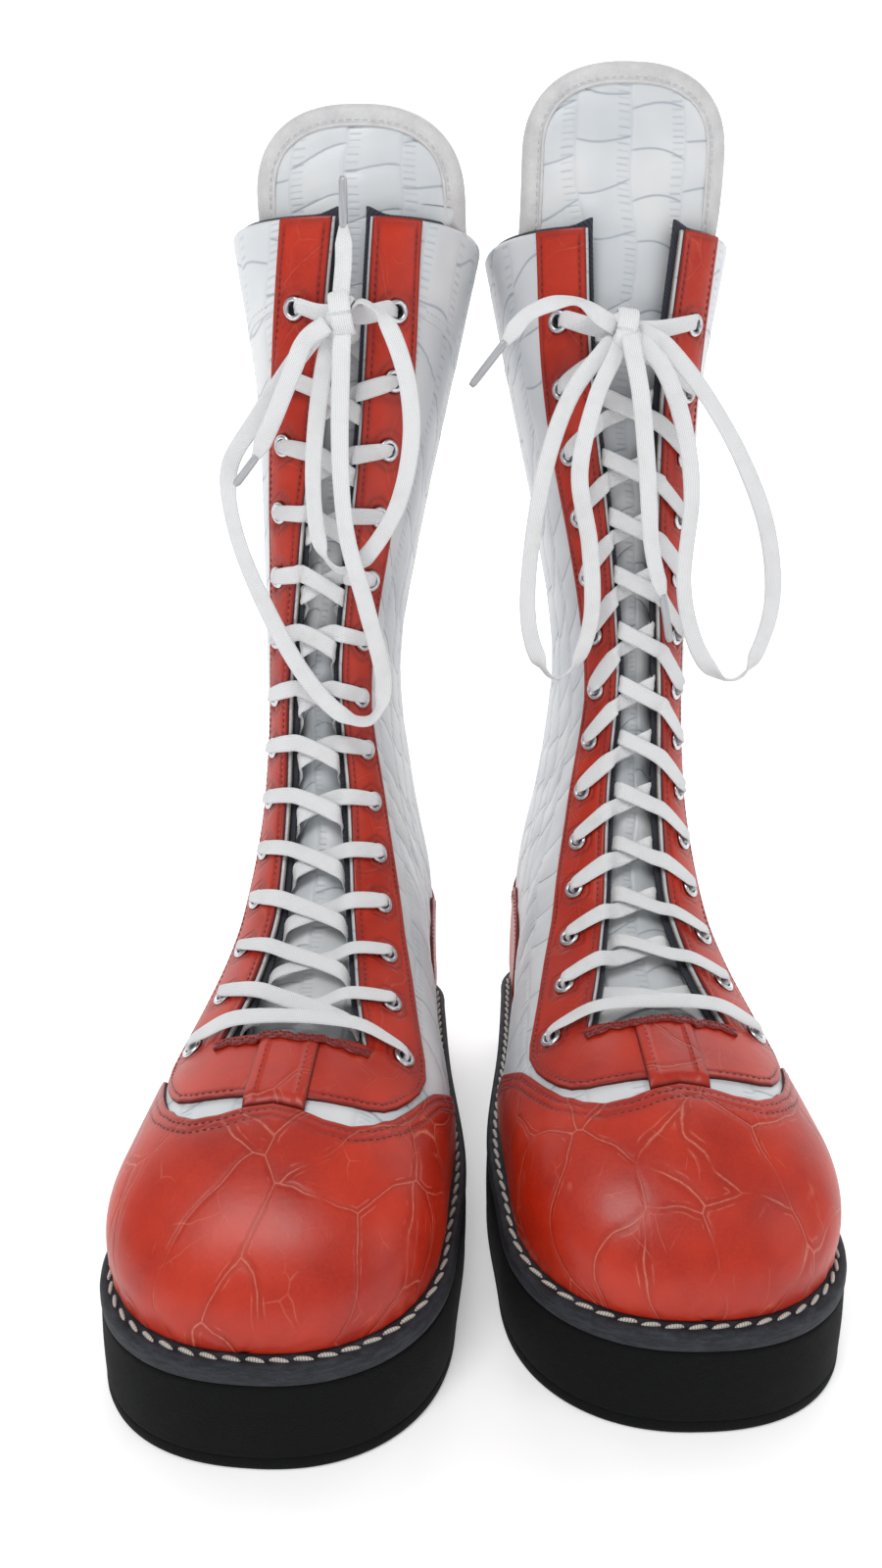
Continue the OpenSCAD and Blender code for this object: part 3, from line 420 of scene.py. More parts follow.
def croc(u, v):
    """Stamped crocodile grain at (u, v) mm: (height in mm, how deep in a crease from 0 to 1)."""
    bent = u + 1.3 * f_sin(v / 17.0 + 1.0) + 0.8 * f_sin(v / 7.3 + u / 31.0)
    column = f_floor(bent / PLATE_W)
    across = f_fract(bent / PLATE_W)
    chance = f_fract(column * 0.618 + 0.21)
    up = (v + 1.9 * f_sin(u / 6.5 + 9.0 * chance) + 2.4 * f_sin(u / 23.0 + v / 41.0)) / PLATE_L + 3.7 * chance
    line = f_floor(up + 0.5)
    uneven = f_fract(line * 0.7549 + column * 0.5698)
    tilt = (f_fract(line * 0.4301 + column * 0.3177) - 0.5) * (across - 0.5) * 7.0
    away = (up - line - (uneven - 0.5) * 0.4) * PLATE_L + tilt
    inside = ramp(across, 0.0, 0.07) * ramp(1.0 - across, 0.0, 0.07)
    crease = hill(away, 0.42) * (0.35 + 0.65 * inside)
    seam = hill(f_min(across, 1.0 - across) * PLATE_W, 0.6) * 0.4
    leaning = v + 0.12 * bent * f_sin(7.0 * chance)
    from_notch = f_fract(leaning / NOTCH_PITCH + 0.3 * f_sin(v / 5.1 + 6.0 * chance)) - 0.5
    window = ramp(across, 0.73, 0.78) * ramp(0.985 - across, 0.0, 0.04)
    strength = 0.35 + 0.65 * f_fract(f_floor(v / NOTCH_PITCH) * 0.377 + chance)
    notch = hill(from_notch * NOTCH_PITCH, 0.4) * window * strength
    puff = inside * ramp(f_abs(away), 0.0, 5.0)
    height = 0.28 * puff - 0.34 * crease - 0.12 * seam - 0.24 * notch
    # the second value is the mask that white leather darkens as painted shade
    return height, f_min(crease + 0.4 * seam + 0.75 * notch, 1.0)


MIX_A, MIX_B, MIX_RESULT = 6, 7, 2  # the mix node's colour sockets


class Tree:
    """A Principled material, built from formulas."""

    def __init__(self, name, **values):
        self.mat = bpy.data.materials.new(name)
        self.mat.use_nodes = True
        self.nt = self.mat.node_tree
        self.nt.nodes.clear()
        out = self.node("ShaderNodeOutputMaterial")
        self.bsdf = self.node("ShaderNodeBsdfPrincipled")
        self.nt.links.new(self.bsdf.outputs[0], out.inputs[0])
        for key, value in values.items():
            self.bsdf.inputs[key.replace("_", " ")].default_value = value

    def node(self, kind, **props):
        n = self.nt.nodes.new(kind)
        for k, v in props.items():
            setattr(n, k, v)
        return n

    def put(self, value, socket):
        if isinstance(value, Socket):
            self.nt.links.new(value.out, socket)
        else:
            socket.default_value = value

    def math(self, op, *args):
        n = self.node("ShaderNodeMath", operation=op)
        for a, sock in zip(args, n.inputs):
            self.put(a if isinstance(a, Socket) else float(a), sock)
        return Socket(self, n.outputs[0])

    def uv(self):
        """The two UV coordinates, in mm."""
        n = self.node("ShaderNodeUVMap", uv_map="UVMap")
        sep = self.node("ShaderNodeSeparateXYZ")
        self.nt.links.new(n.outputs[0], sep.inputs[0])
        return Socket(self, sep.outputs[0]), Socket(self, sep.outputs[1])

    def vector(self, x, y, z=0.0):
        n = self.node("ShaderNodeCombineXYZ")
        for v, sock in zip((x, y, z), n.inputs):
            self.put(v, sock)
        return Socket(self, n.outputs[0])

    def rest(self):
        """The point in mm, from the object's own coordinates."""
        n = self.node("ShaderNodeTexCoord")
        m = self.node("ShaderNodeVectorMath", operation="SCALE")
        self.nt.links.new(n.outputs["Object"], m.inputs[0])
        m.inputs["Scale"].default_value = 1000.0
        return Socket(self, m.outputs[0])

    def attribute(self, name):
        n = self.node("ShaderNodeAttribute", attribute_name=name)
        return Socket(self, n.outputs["Fac"])

    def noise(self, at, size, detail=3.0, rough=0.55, stretch=None):
        if stretch is not None:
            m = self.node("ShaderNodeVectorMath", operation="MULTIPLY")
            self.put(at, m.inputs[0])
            m.inputs[1].default_value = stretch
            at = Socket(self, m.outputs[0])
        n = self.node("ShaderNodeTexNoise")
        self.put(at, n.inputs["Vector"])
        n.inputs["Scale"].default_value = 1.0 / size
        n.inputs["Detail"].default_value = detail
        n.inputs["Roughness"].default_value = rough
        return Socket(self, n.outputs[0])

    def cracks(self, at, size):
        """Distance in cells from the nearest border of a cell pattern."""
        n = self.node("ShaderNodeTexVoronoi", feature="DISTANCE_TO_EDGE")
        self.put(at, n.inputs["Vector"])
        n.inputs["Scale"].default_value = 1.0 / size
        return Socket(self, n.outputs["Distance"])

    def warped(self, at, size, amount):
        """at, pushed about by noise of that size, by up to about amount mm."""
        n = self.node("ShaderNodeTexNoise")
        self.put(at, n.inputs["Vector"])
        n.inputs["Scale"].default_value = 1.0 / size
        n.inputs["Detail"].default_value = 2.0
        less = self.node("ShaderNodeVectorMath", operation="SUBTRACT")
        self.nt.links.new(n.outputs["Color"], less.inputs[0])
        less.inputs[1].default_value = (0.5, 0.5, 0.5)
        more = self.node("ShaderNodeVectorMath", operation="SCALE")
        self.nt.links.new(less.outputs[0], more.inputs[0])
        more.inputs["Scale"].default_value = 2.0 * amount
        both = self.node("ShaderNodeVectorMath", operation="ADD")
        self.put(at, both.inputs[0])
        self.nt.links.new(more.outputs[0], both.inputs[1])
        return Socket(self, both.outputs[0])

    def blend(self, k, a, b):
        """Colour a where k is 0, colour b where it is 1."""
        n = self.node("ShaderNodeMix", data_type="RGBA")
        self.put(k, n.inputs[0])
        for value, i in ((a, MIX_A), (b, MIX_B)):
            self.put(rgb(*value) if isinstance(value, tuple) else value, n.inputs[i])
        return Socket(self, n.outputs[MIX_RESULT])

    def colour(self, value):
        self.put(value, self.bsdf.inputs["Base Color"])

    def rough(self, value):
        self.put(value, self.bsdf.inputs["Roughness"])

    def relief(self, height, strength=1.0):
        """Bump from a height in mm."""
        n = self.node("ShaderNodeBump")
        n.inputs["Strength"].default_value = strength
        n.inputs["Distance"].default_value = 0.001
        self.put(height, n.inputs["Height"])
        self.nt.links.new(n.outputs[0], self.bsdf.inputs["Normal"])


def rgb(r, g, b):
    """0 to 255 screen colour to the renderer's own scale."""
    def one(c):
        c /= 255
        return c / 12.92 if c <= 0.04045 else ((c + 0.055) / 1.055) ** 2.4
    return (one(r), one(g), one(b), 1.0)


# ---------------------------------------------------------------- materials
CREASE_CELL = 26.0


def red_leather(name, veins):
    """Glossy red leather with thin pale creases that run in long bundles: their pale colour is partly worn
    finish and partly painted highlight, and the darker red round them is painted shade.
    """
    m = Tree(name, Specular_IOR_Level=0.38, Coat_Weight=0.16, Coat_Roughness=0.24)
    at = m.rest()
    u, v = m.uv()
    flat = m.vector(u, v)
    slanted = m.vector(0.8 * u + 0.5 * v, 0.62 * v - 0.45 * u)
    mottle = m.noise(at, 26.0, 3.0)
    fine = m.noise(at, 0.9, 3.0, 0.6)
    bent = m.warped(m.warped(slanted, 34.0, 7.0), 9.0, 0.8)
    presence = ramp(m.noise(flat, 26.0, 2.0), 0.36, 0.5)
    away = m.cracks(bent, CREASE_CELL) * CREASE_CELL
    fray = 0.5 + 0.5 * ramp(m.noise(flat, 1.6, 2.0), 0.35, 0.6)
    big = hill(away, 0.17) * presence * fray
    twin = hill(away - 1.3, 0.16) * presence * ramp(m.noise(flat, 11.0), 0.5, 0.6) * fray
    small_away = m.cracks(m.warped(slanted, 14.0, 3.0), CREASE_CELL / 2) * (CREASE_CELL / 2)
    small = hill(small_away, 0.13) * ramp(m.noise(flat, 17.0, 2.0), 0.52, 0.64)
    vein = f_min(big + 0.7 * twin + 0.4 * small, 1.0) * veins
    fold = hill(away - 0.35, 0.9) * presence * veins
    rim = m.attribute("rim")
    groove = m.attribute("seam")
    base = m.blend(ramp(mottle, 0.3, 0.7), (156, 25, 5), (188, 43, 12))
    base = m.blend(0.2 * ramp(fine, 0.35, 0.75), base, (200, 62, 34))
    # painted shade: darker red in a band round each crease
    base = m.blend(0.25 * fold, base, (124, 16, 7))
    # pale crease colour: partly worn finish, partly painted highlight
    base = m.blend(0.5 * vein, base, (230, 146, 122))
    base = m.blend(0.7 * hill(rim, 0.8), base, (84, 12, 10))
    # painted shade: darker red in the stitch grooves
    base = m.blend(0.5 * groove, base, (96, 10, 8))
    m.colour(base)
    m.rough(0.27 + 0.2 * fine + 0.14 * mottle + 0.12 * vein)
    m.relief(0.1 * vein - 0.22 * fold - 0.35 * groove + 0.05 * fine + 0.16 * m.noise(at, 5.0, 2.0), 0.9)
    return m.mat


def white_leather(name, shade=1.0):
    """White leather with a stamped crocodile grain, with painted shade in the grain's creases and notches and
    in the stitch grooves.
    """
    m = Tree(name, Coat_Weight=0.12, Coat_Roughness=0.35)
    at = m.rest()
    u, v = m.uv()
    height, crease = croc(u, v)
    fine = m.noise(at, 0.9, 3.0, 0.6)
    cloud = m.noise(at, 40.0, 2.0)
    groove = m.attribute("seam")
    # shade below 1 makes a darker copy of the leather: painted shade
    bright = tuple(c * shade for c in (216, 218, 220))
    dull = tuple(c * shade for c in (199, 204, 208))
    base = m.blend(ramp(cloud, 0.35, 0.65), dull, bright)
    # painted shade: bluish grey in the grain's creases and notches
    base = m.blend(0.62 * crease, base, tuple(c * shade for c in (132, 146, 160)))
    # painted shade: grey in the stitch grooves
    base = m.blend(0.5 * groove, base, (120, 130, 140))
    base = m.blend(0.6 * hill(m.attribute("rim"), 0.5), base, (150, 156, 160))
    m.colour(base)
    m.rough(0.34 + 0.16 * fine)
    m.relief(0.55 * height - 0.3 * groove + 0.03 * fine, 0.9)
    return m.mat


def plain_leather(name, light, dark):
    """Fine-grained leather."""
    m = Tree(name)
    at = m.rest()
    fine = m.noise(at, 0.8, 4.0, 0.65)
    m.colour(m.blend(ramp(m.noise(at, 9.0, 3.0) * 0.6 + fine * 0.4, 0.35, 0.65), dark, light))
    m.rough(0.45 + 0.2 * fine)
    m.relief(0.12 * fine + 0.1 * m.noise(at, 2.6), 0.8)
    return m.mat


def fibrous(name, light, dark):
    """A cut edge: fibres along it."""
    m = Tree(name)
    at = m.rest()
    fibre = m.noise(at, 0.45, 4.0, 0.7, stretch=(1.0, 1.0, 0.45))
    m.colour(m.blend(ramp(fibre, 0.3, 0.7), dark, light))
    m.rough(0.85)
    m.relief(0.25 * fibre, 1.0)
    return m.mat


def foam_rubber():
    """Matt black foam with fine closed cells."""
    m = Tree("foam_rubber", Specular_IOR_Level=0.16)
    at = m.rest()
    cells = m.cracks(at, 0.9)
    scuff = m.noise(at, 14.0, 5.0, 0.65)
    base = m.blend(ramp(scuff, 0.45, 0.8), (4, 5, 6), (10, 11, 13))
    base = m.blend(0.4 * ramp(m.noise(at, 0.7, 2.0), 0.55, 0.75), base, (17, 18, 21))
    m.colour(base)
    m.rough(0.72 + 0.18 * scuff)
    m.relief(0.1 * ramp(cells, 0.0, 0.2) + 0.2 * m.noise(at, 3.0, 3.0), 0.8)
    return m.mat


def welt_rubber():
    """Sanded dark rubber with lighter streaks along it."""
    m = Tree("welt_rubber", Specular_IOR_Level=0.35)
    at = m.rest()
    streak = m.noise(at, 2.2, 4.0, 0.7, stretch=(0.35, 0.35, 1.6))
    speck = m.noise(at, 0.5, 3.0, 0.7)
    base = m.blend(ramp(streak, 0.4, 0.75), (24, 26, 32), (52, 55, 63))
    base = m.blend(0.5 * ramp(speck, 0.58, 0.8), base, (92, 94, 101))
    m.colour(base)
    m.rough(0.62 + 0.2 * speck)
    m.relief(0.22 * streak + 0.16 * speck, 0.9)
    return m.mat


def thread(name, light, dark, twist=0.55):
    """Plied thread: slanting strands along its UV length, with painted shade in the grooves between them."""
    m = Tree(name, Sheen_Weight=0.25, Sheen_Roughness=0.4)
    u, v = m.uv()
    ply = f_abs(f_fract(v / twist + u * 1.5) - 0.5) * 2.0
    fuzz = m.noise(m.rest(), 0.25, 2.0)
    # painted shade: the dark colour lies in the low grooves between the strands
    m.colour(m.blend(ramp(ply * 0.7 + fuzz * 0.3, 0.15, 0.6), dark, light))
    m.rough(0.7)
    m.relief(0.16 * ply + 0.05 * fuzz, 0.9)
    return m.mat


def lace_cloth():
    """Flat woven lace: fine chevrons across, ribs along, soft edges, with painted shade in the weave's low
    places and towards the edges.
    """
    m = Tree("lace_cloth", Sheen_Weight=0.35, Sheen_Roughness=0.45, Specular_IOR_Level=0.3)
    u, v = m.uv()
    arms = f_abs(u) * 0.9
    weave = f_sin((v + arms) * 7.4) * 0.5 + 0.5
    ribs = f_sin(u * 9.2) * 0.5 + 0.5
    cloth = weave * ribs
    dirt = m.noise(m.rest(), 9.0, 3.0)
    edge = ramp(f_abs(u), 2.3, 3.4)
    # painted shade: darker where the weave lies low
    base = m.blend(ramp(cloth, 0.0, 0.5), (209, 211, 214), (240, 241, 241))
    # painted shade: darker towards the band's rounded edges
    base = m.blend(0.25 * edge, base, (190, 194, 199))
    base = m.blend(0.35 * ramp(dirt, 0.5, 0.75), base, (206, 206, 203))
    m.colour(base)
    m.rough(0.8)
    m.relief(0.16 * cloth + 0.05 * dirt, 0.9)
    return m.mat


def lining_cloth():
    """Dark twill."""
    m = Tree("lining_cloth", Sheen_Weight=0.3, Sheen_Roughness=0.5)
    u, v = m.uv()
    twill = f_sin((u + v) * 3.6) * 0.5 + 0.5
    fuzz = m.noise(m.rest(), 0.6, 3.0)
    m.colour(m.blend(0.6 * twill + 0.4 * fuzz, (22, 24, 32), (52, 56, 70)))
    m.rough(0.88)
    m.relief(0.15 * twill + 0.1 * fuzz, 0.8)
    return m.mat


def nickel():
    """Scratched bright metal."""
    m = Tree("nickel", Metallic=1.0)
    at = m.rest()
    scratch = m.noise(at, 0.9, 4.0, 0.7)
    m.colour(m.blend(ramp(scratch, 0.4, 0.7), (188, 190, 194), (232, 233, 236)))
    m.rough(0.2 + 0.25 * scratch)
    m.relief(0.03 * scratch, 0.6)
    return m.mat


def clear_tip():
    """Milky plastic film, wound round the lace's end."""
    m = Tree("clear_tip", Coat_Weight=0.6, Coat_Roughness=0.15)
    u, v = m.uv()
    wrap = m.noise(m.vector(u, 0.15 * v), 1.5, 2.0)
    m.colour(m.blend(ramp(wrap, 0.3, 0.7), (152, 154, 158), (180, 182, 186)))
    m.rough(0.28 + 0.1 * wrap)
    m.relief(0.05 * wrap, 0.7)
    return m.mat


def cork():
    """Pressed cork grains."""
    m = Tree("cork_board")
    at = m.rest()
    grains = m.cracks(at, 2.4)
    m.colour(m.blend(ramp(grains, 0.02, 0.3), (96, 66, 40), (176, 134, 92)))
    m.rough(0.85)
    m.relief(0.3 * ramp(grains, 0.0, 0.2), 0.8)
    return m.mat


MATS = {
    "red_vamp": red_leather("red_vamp_leather", 1.0),
    "red": red_leather("red_leather", 0.28),
    "red_edge": fibrous("red_cut_edge", (128, 34, 24), (66, 18, 16)),
    "cream_edge": fibrous("cream_cut_edge", (206, 186, 156), (150, 126, 98)),
    "white": white_leather("white_leather"),
    # the tongue's copy is 3% darker: painted shade for the tongue lying back under the laces
    "tongue": white_leather("tongue_leather", 0.97),
    "white_edge": fibrous("white_cut_edge", (176, 166, 152), (120, 108, 96)),
    "binding": plain_leather("binding_leather", (206, 205, 204), (184, 184, 186)),
    "lining": lining_cloth(),
    "dark_edge": fibrous("dark_cut_edge", (44, 40, 42), (16, 15, 18)),
    "foam": foam_rubber(),
    "welt": welt_rubber(),
    "cream_thread": thread("cream_thread", (208, 205, 196), (122, 118, 110), 0.9),
    "red_thread": thread("red_thread", (132, 20, 18), (70, 8, 10)),
    "white_thread": thread("white_thread", (214, 218, 222), (150, 156, 164)),
    "nickel": nickel(),
    "lace": lace_cloth(),
    "tip": clear_tip(),
    "cork": cork(),
}


# ---------------------------------------------------------------- meshes
HOLE_R, EDGE_ROLL, FAR_INSIDE = 3.1, 0.9, 50.0


class Mesh:
    """Points, faces, UVs in mm and point values, gathered for one piece."""

    def __init__(self):
        self.points, self.faces, self.uvs, self.mats, self.values = [], [], [], [], {}
        self.count = 0

    def add(self, points, faces, uv=None, mats=None, **values):
        points = np.asarray(points, float).reshape(-1, 3)
        faces = [tuple(int(i) + self.count for i in f) for f in faces]
        uv = np.zeros((len(points), 2)) if uv is None else np.asarray(uv, float).reshape(-1, 2)
        self.points.append(points)
        self.uvs.append(uv)
        self.faces += faces
        self.mats += [0] * len(faces) if mats is None else mats
        for k in set(values) | set(self.values):
            self.values.setdefault(k, [np.zeros(self.count)] if self.count else [])
            self.values[k].append(np.asarray(values.get(k, np.zeros(len(points))), float).ravel())
        self.count += len(points)

    def make(self, name, boot, mats, replaces=(), slot=None, fold=None):
        """Stands the piece in the scene, hangs it under its boot's body unless fold is given, and hides the
        CAD parts it replaces.
        """
        tag = BOOTS[boot] + "_"
        me = bpy.data.meshes.new(tag + name)
        faces = [f[::-1] for f in self.faces] if boot == 0 else self.faces
        me.from_pydata(place(np.concatenate(self.points), boot).tolist(), [], faces)
        me.update()
        corner = np.zeros(len(me.loops), np.int32)
        me.loops.foreach_get("vertex_index", corner)
        uv = np.concatenate(self.uvs)[corner]
        me.uv_layers.new(name="UVMap").data.foreach_set("uv", uv.astype(np.float32).ravel())
        for key, parts in self.values.items():
            a = me.attributes.new(key, "FLOAT", "POINT")
            a.data.foreach_set("value", np.concatenate(parts).astype(np.float32))
        for m in mats:
            me.materials.append(MATS[m])
        me.polygons.foreach_set("material_index", np.array(self.mats, np.int32))
        me.polygons.foreach_set("use_smooth", np.full(len(me.polygons), True))
        me.validate()
        ob = bpy.data.objects.new(tag + name, me)
        bpy.context.scene.collection.objects.link(ob)
        if fold:
            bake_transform(ob)
        else:
            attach(ob, tag + "boot")
        if replaces:
            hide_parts(*[tag + node for node in replaces])
        return ob


def grid_faces(rows, cols, wrap=False):
    i, j = np.meshgrid(np.arange(rows - 1), np.arange(cols if wrap else cols - 1), indexing="ij")
    k = (j + 1) % cols
    return np.stack([i * cols + j, i * cols + k, (i + 1) * cols + k, (i + 1) * cols + j], -1).reshape(-1, 4)


def end_faces(rows, cols):
    """The two faces that close a tube of rings."""
    return [list(range(cols)), list(range((rows - 1) * cols, rows * cols))[::-1]]


def fine_steps(a, b, size, step, ends=(0.35, 0.9, 1.8)):
    """Steps from a to b, size mm apart, closer together at both ends so that an edge can be rolled."""
    inner = [e / size for e in ends if e < size / 2.2]
    n = max(2, int(round(size / step)))
    lo = inner[-1] if inner else 0
    mid = np.linspace(lo, 1 - lo, n)
    k = np.unique(np.concatenate([[0], inner, mid, [1 - e for e in inner], [1]]))
    return a + (b - a) * k


def border_loops(faces):
    """Edges that only one face has, in that face's own direction."""
    faces = np.asarray(faces)
    edges = np.stack([faces, np.roll(faces, -1, 1)], -1).reshape(-1, 2)
    keys = np.sort(edges, 1)
    _, first, counts = np.unique(keys, axis=0, return_index=True, return_counts=True)
    return edges[first[counts == 1]]


def side_walls(edges, count):
    """Faces from a sheet's border to the same border count points on."""
    return np.stack([edges[:, 1], edges[:, 0], edges[:, 0] + count, edges[:, 1] + count], 1)


def distance_to(points, targets):
    tree = KDTree(len(targets))
    for i, p in enumerate(targets):
        tree.insert(p, i)
    tree.balance()
    return np.array([tree.find(p)[2] for p in points])


def without_holes(faces, mid, holes):
    """Leaves out the faces that reach into a round hole."""
    keep = np.ones(len(faces), bool)
    for centre in holes:
        near = np.linalg.norm(mid - centre, axis=1) < HOLE_R + 0.4
        keep &= ~near[faces].any(1)
    return faces[keep]


def round_the_holes(levels, mid, ring, holes):
    """Draws each hole's edge in to a true circle."""
    for centre in holes:
        near = ring[np.linalg.norm(mid[ring] - centre, axis=1) < HOLE_R + 2.6]
        away = mid[near] - centre
        stretch = HOLE_R / np.maximum(np.linalg.norm(away, axis=1), 0.1) - 1
        for level in levels:
            level[near] += away * stretch[:, None]


def inside_border(mid, faces, edges):
    """How far each point of a sheet lies from its border, in mm."""
    used = np.unique(faces)
    samples = np.concatenate([mid[edges[:, 0]] * (1 - k) + mid[edges[:, 1]] * k for k in (0, 0.5)])
    rim = np.full(len(mid), FAR_INSIDE)
    rim[used] = distance_to(mid[used], samples)
    return rim


def rolled(rim):
    """How far a cut edge is rounded down, by the distance from it."""
    return EDGE_ROLL * 0.6 * (1 - np.sqrt(np.clip(1 - (1 - np.clip(rim / EDGE_ROLL, 0, 1)) ** 2, 0, 1)))


def skin(mesh, t, s, d_in, d_out, side, relief=None, holes=(), uv_shift=0.0, seams=(), seam_edge=None,
         lift=None):
    """Adds a closed layer of the shell over a grid of (t, s), with rolled edges, round holes and grooves."""
    mid = shell(t, side * s, d_out).reshape(-1, 3)
    faces = without_holes(grid_faces(*t.shape), mid, holes)
    if side < 0:
        faces = faces[:, ::-1]
    t, s = t.ravel(), side * s.ravel()
    edges = border_loops(faces)
    rim = inside_border(mid, faces, edges)
    u, v = s + uv_shift, front_run(t) + uv_shift
    d = d_out - rolled(rim)
    if relief is not None:
        d = d + relief(u, v, t, s) * np.clip(rim / 3.0, 0, 1)
    outer, inner = shell(t, s, d), shell(t, s, d_in)
    if lift is not None:
        outer, inner = outer + lift(t, s), inner + lift(t, s)
    round_the_holes((outer, inner), mid, np.unique(edges), holes)
    seam_rim = rim if seam_edge is None else distance_to(mid, seam_edge)
    # groove marks the stitch grooves; the leathers use it for a dent and for painted shade
    groove = np.zeros(len(mid))
    for offset in seams:
        groove = np.maximum(groove, bump_at(seam_rim, offset, 0.75))
    n = len(mid)
    walls = side_walls(edges, n)
    everything = np.concatenate([faces, faces[:, ::-1] + n, walls])
    live = np.unique(everything)
    renumber = np.full(2 * n, -1)
    renumber[live] = np.arange(len(live))
    uv = np.stack([np.tile(u, 2), np.tile(v, 2)], 1)
    mesh.add(np.concatenate([outer, inner])[live], renumber[everything], uv[live],
             [0] * len(faces) + [1] * (len(faces) + len(walls)),
             rim=np.concatenate([rim, np.zeros(n)])[live], seam=np.concatenate([groove, np.zeros(n)])[live])


STITCH_AT = np.array([-1, -0.92, -0.7, -0.3, 0.3, 0.7, 0.92, 1])
STITCH_SWELL = np.array([0.12, 0.5, 0.82, 1, 1, 0.82, 0.5, 0.12])
STITCH_SIDES = 8


def stitches(mesh, path, up, pitch, length, width, height, slant=0.0, closed=False):
    """Small rounded bars, one every pitch mm along a path, standing height mm over it."""
    if closed:
        path, up = np.concatenate([path, path[:1]]), np.concatenate([up, up[:1]])
    run = distance_along(path)
    count = max(1, int(run[-1] / pitch))
    at = (np.arange(count) + 0.5) * run[-1] / count
    centre = points_at(path, run, at)
    ahead = unit(points_at(path, run, at + 0.4) - points_at(path, run, at - 0.4))
    normal = unit(points_at(up, run, at))
    across = unit(np.cross(normal, ahead))
    c, s = math.cos(math.radians(slant)), math.sin(math.radians(slant))
    ahead, across = ahead * c + across * s, across * c - ahead * s
    around = np.linspace(0, 2 * math.pi, STITCH_SIDES + 1)[:-1]
    cos, sin = np.cos(around)[None, :, None], np.sin(around)[None, :, None]
    swell = STITCH_SWELL[:, None, None]
    rings = len(STITCH_AT)
    faces = grid_faces(rings, STITCH_SIDES, wrap=True).tolist() + end_faces(rings, STITCH_SIDES)
    flipped = [f[::-1] for f in faces]
    for k in range(count):
        bar = centre[k] + STITCH_AT[:, None, None] * ahead[k] * length / 2
        bar = bar + swell * (cos * across[k] * width / 2 + sin * normal[k] * height)
        bar = bar - (1 - swell) * normal[k] * height * 0.8
        v, u = np.meshgrid(STITCH_AT * length / 2 + k * 1.7, around / (2 * math.pi), indexing="ij")
        left_handed = np.dot(np.cross(ahead[k], across[k]), normal[k]) > 0
        mesh.add(bar, flipped if left_handed else faces, np.stack([u, v], -1))


def smooth_path(points, step=1.5):
    """A curve through the points, resampled every step mm. Extra columns ride along."""
    p = np.asarray(points, float)
    fine = spline(p, np.linspace(0, len(p) - 1, 24 * (len(p) - 1) + 1))
    run = distance_along(fine[:, :3])
    return points_at(fine, run, np.linspace(0, run[-1], max(2, int(round(run[-1] / step))) + 1))


def band_section():
    """Points round a woven band's section, 1 by 1, with rounded edges and a slightly hollow face."""
    angle = np.linspace(0, 2 * math.pi, 17)[:-1]
    c, s = np.cos(angle), np.sin(angle)
    a = np.sign(c) * np.abs(c) ** 0.55 / 2
    b = np.sign(s) * np.abs(s) ** 0.7 / 2
    return a, b * (1 - 0.22 * np.cos(a * 2 * math.pi) ** 2)


BAND_A, BAND_B = band_section()


def ribbon(mesh, path, wide, widths, thicks, closed=False):
    """A flat woven band along a path."""
    n, m = len(path), len(BAND_A)
    if closed:
        ahead = unit(np.roll(path, -1, 0) - np.roll(path, 1, 0))
    else:
        ahead = unit(np.gradient(path, axis=0))
    wide = unit(wide - (wide * ahead).sum(1, keepdims=True) * ahead)
    up = np.cross(ahead, wide)
    widths, thicks = np.broadcast_to(widths, n)[:, None], np.broadcast_to(thicks, n)[:, None]
    a, b = (BAND_A * widths)[..., None], (BAND_B * thicks)[..., None]
    p = path[:, None] + wide[:, None] * a + up[:, None] * b
    uv = np.stack(np.broadcast_arrays(BAND_A * LACE_W, distance_along(path)[:, None]), -1)
    faces = (grid_faces(n + closed, m, wrap=True) % (n * m))[:, ::-1].tolist()
    mesh.add(p, faces if closed else faces + end_faces(n, m), uv)


# ---------------------------------------------------------------- soles
RING = 520
TREAD_PROFILE = [(4.6, 0), (5.6, 0.25), (6.2, 0.9), (6.45, 1.8), (6.5, 3.2), (6.42, 4.4), (6.2, OUTSOLE_H)]
FOAM_BULGE = [(6.5 + 0.25 * math.sin(math.pi * k), 6.5 + 22.5 * k) for k in np.linspace(0, 1, 9)]
WELT_PROFILE = [(5.5, 0), (6.2, 0.25), (6.6, 0.9), (6.75, 2.4), (6.75, 4.6), (6.5, 6.0), (6.0, 6.7),
                (5.2, 7.0), (4.4, 6.95), (3.7, 6.55), (3.0, 6.55), (2.2, 6.95), (0.5, WELT_H), (-5, WELT_H)]


def sole_loop(g, z):
    """The sole's outline grown by g, at height z, as even points, and its length."""
    loop = plan(g, 108, 3)
    closed = np.concatenate([loop, loop[:1]])
    run = distance_along(closed)
    even = points_at(closed, run, np.linspace(0, run[-1], RING + 1)[:-1])
    return np.column_stack([even, np.full(RING, z)]), run[-1]


def block(mesh, profile):
    """A closed block whose outline is the sole's plan, grown by g at height z for each (g, z)."""
    rings = [sole_loop(g, z)[0] for g, z in profile]
    v = np.concatenate([[0], np.cumsum([math.dist(a, b) for a, b in zip(profile, profile[1:])])])
    v, u = np.meshgrid(v, np.linspace(0, sole_loop(*profile[0])[1], RING), indexing="ij")
    faces = grid_faces(len(profile), RING, wrap=True).tolist()
    half = RING // 2 - 1
    bottom = [[i, i + 1, RING - 2 - i, RING - 1 - i] for i in range(half)]
    top = (len(profile) - 1) * RING
    faces += [f[::-1] for f in bottom]
    faces += [[top + i for i in f] for f in bottom]
    mesh.add(np.concatenate(rings), faces, np.stack([u, v], -1))


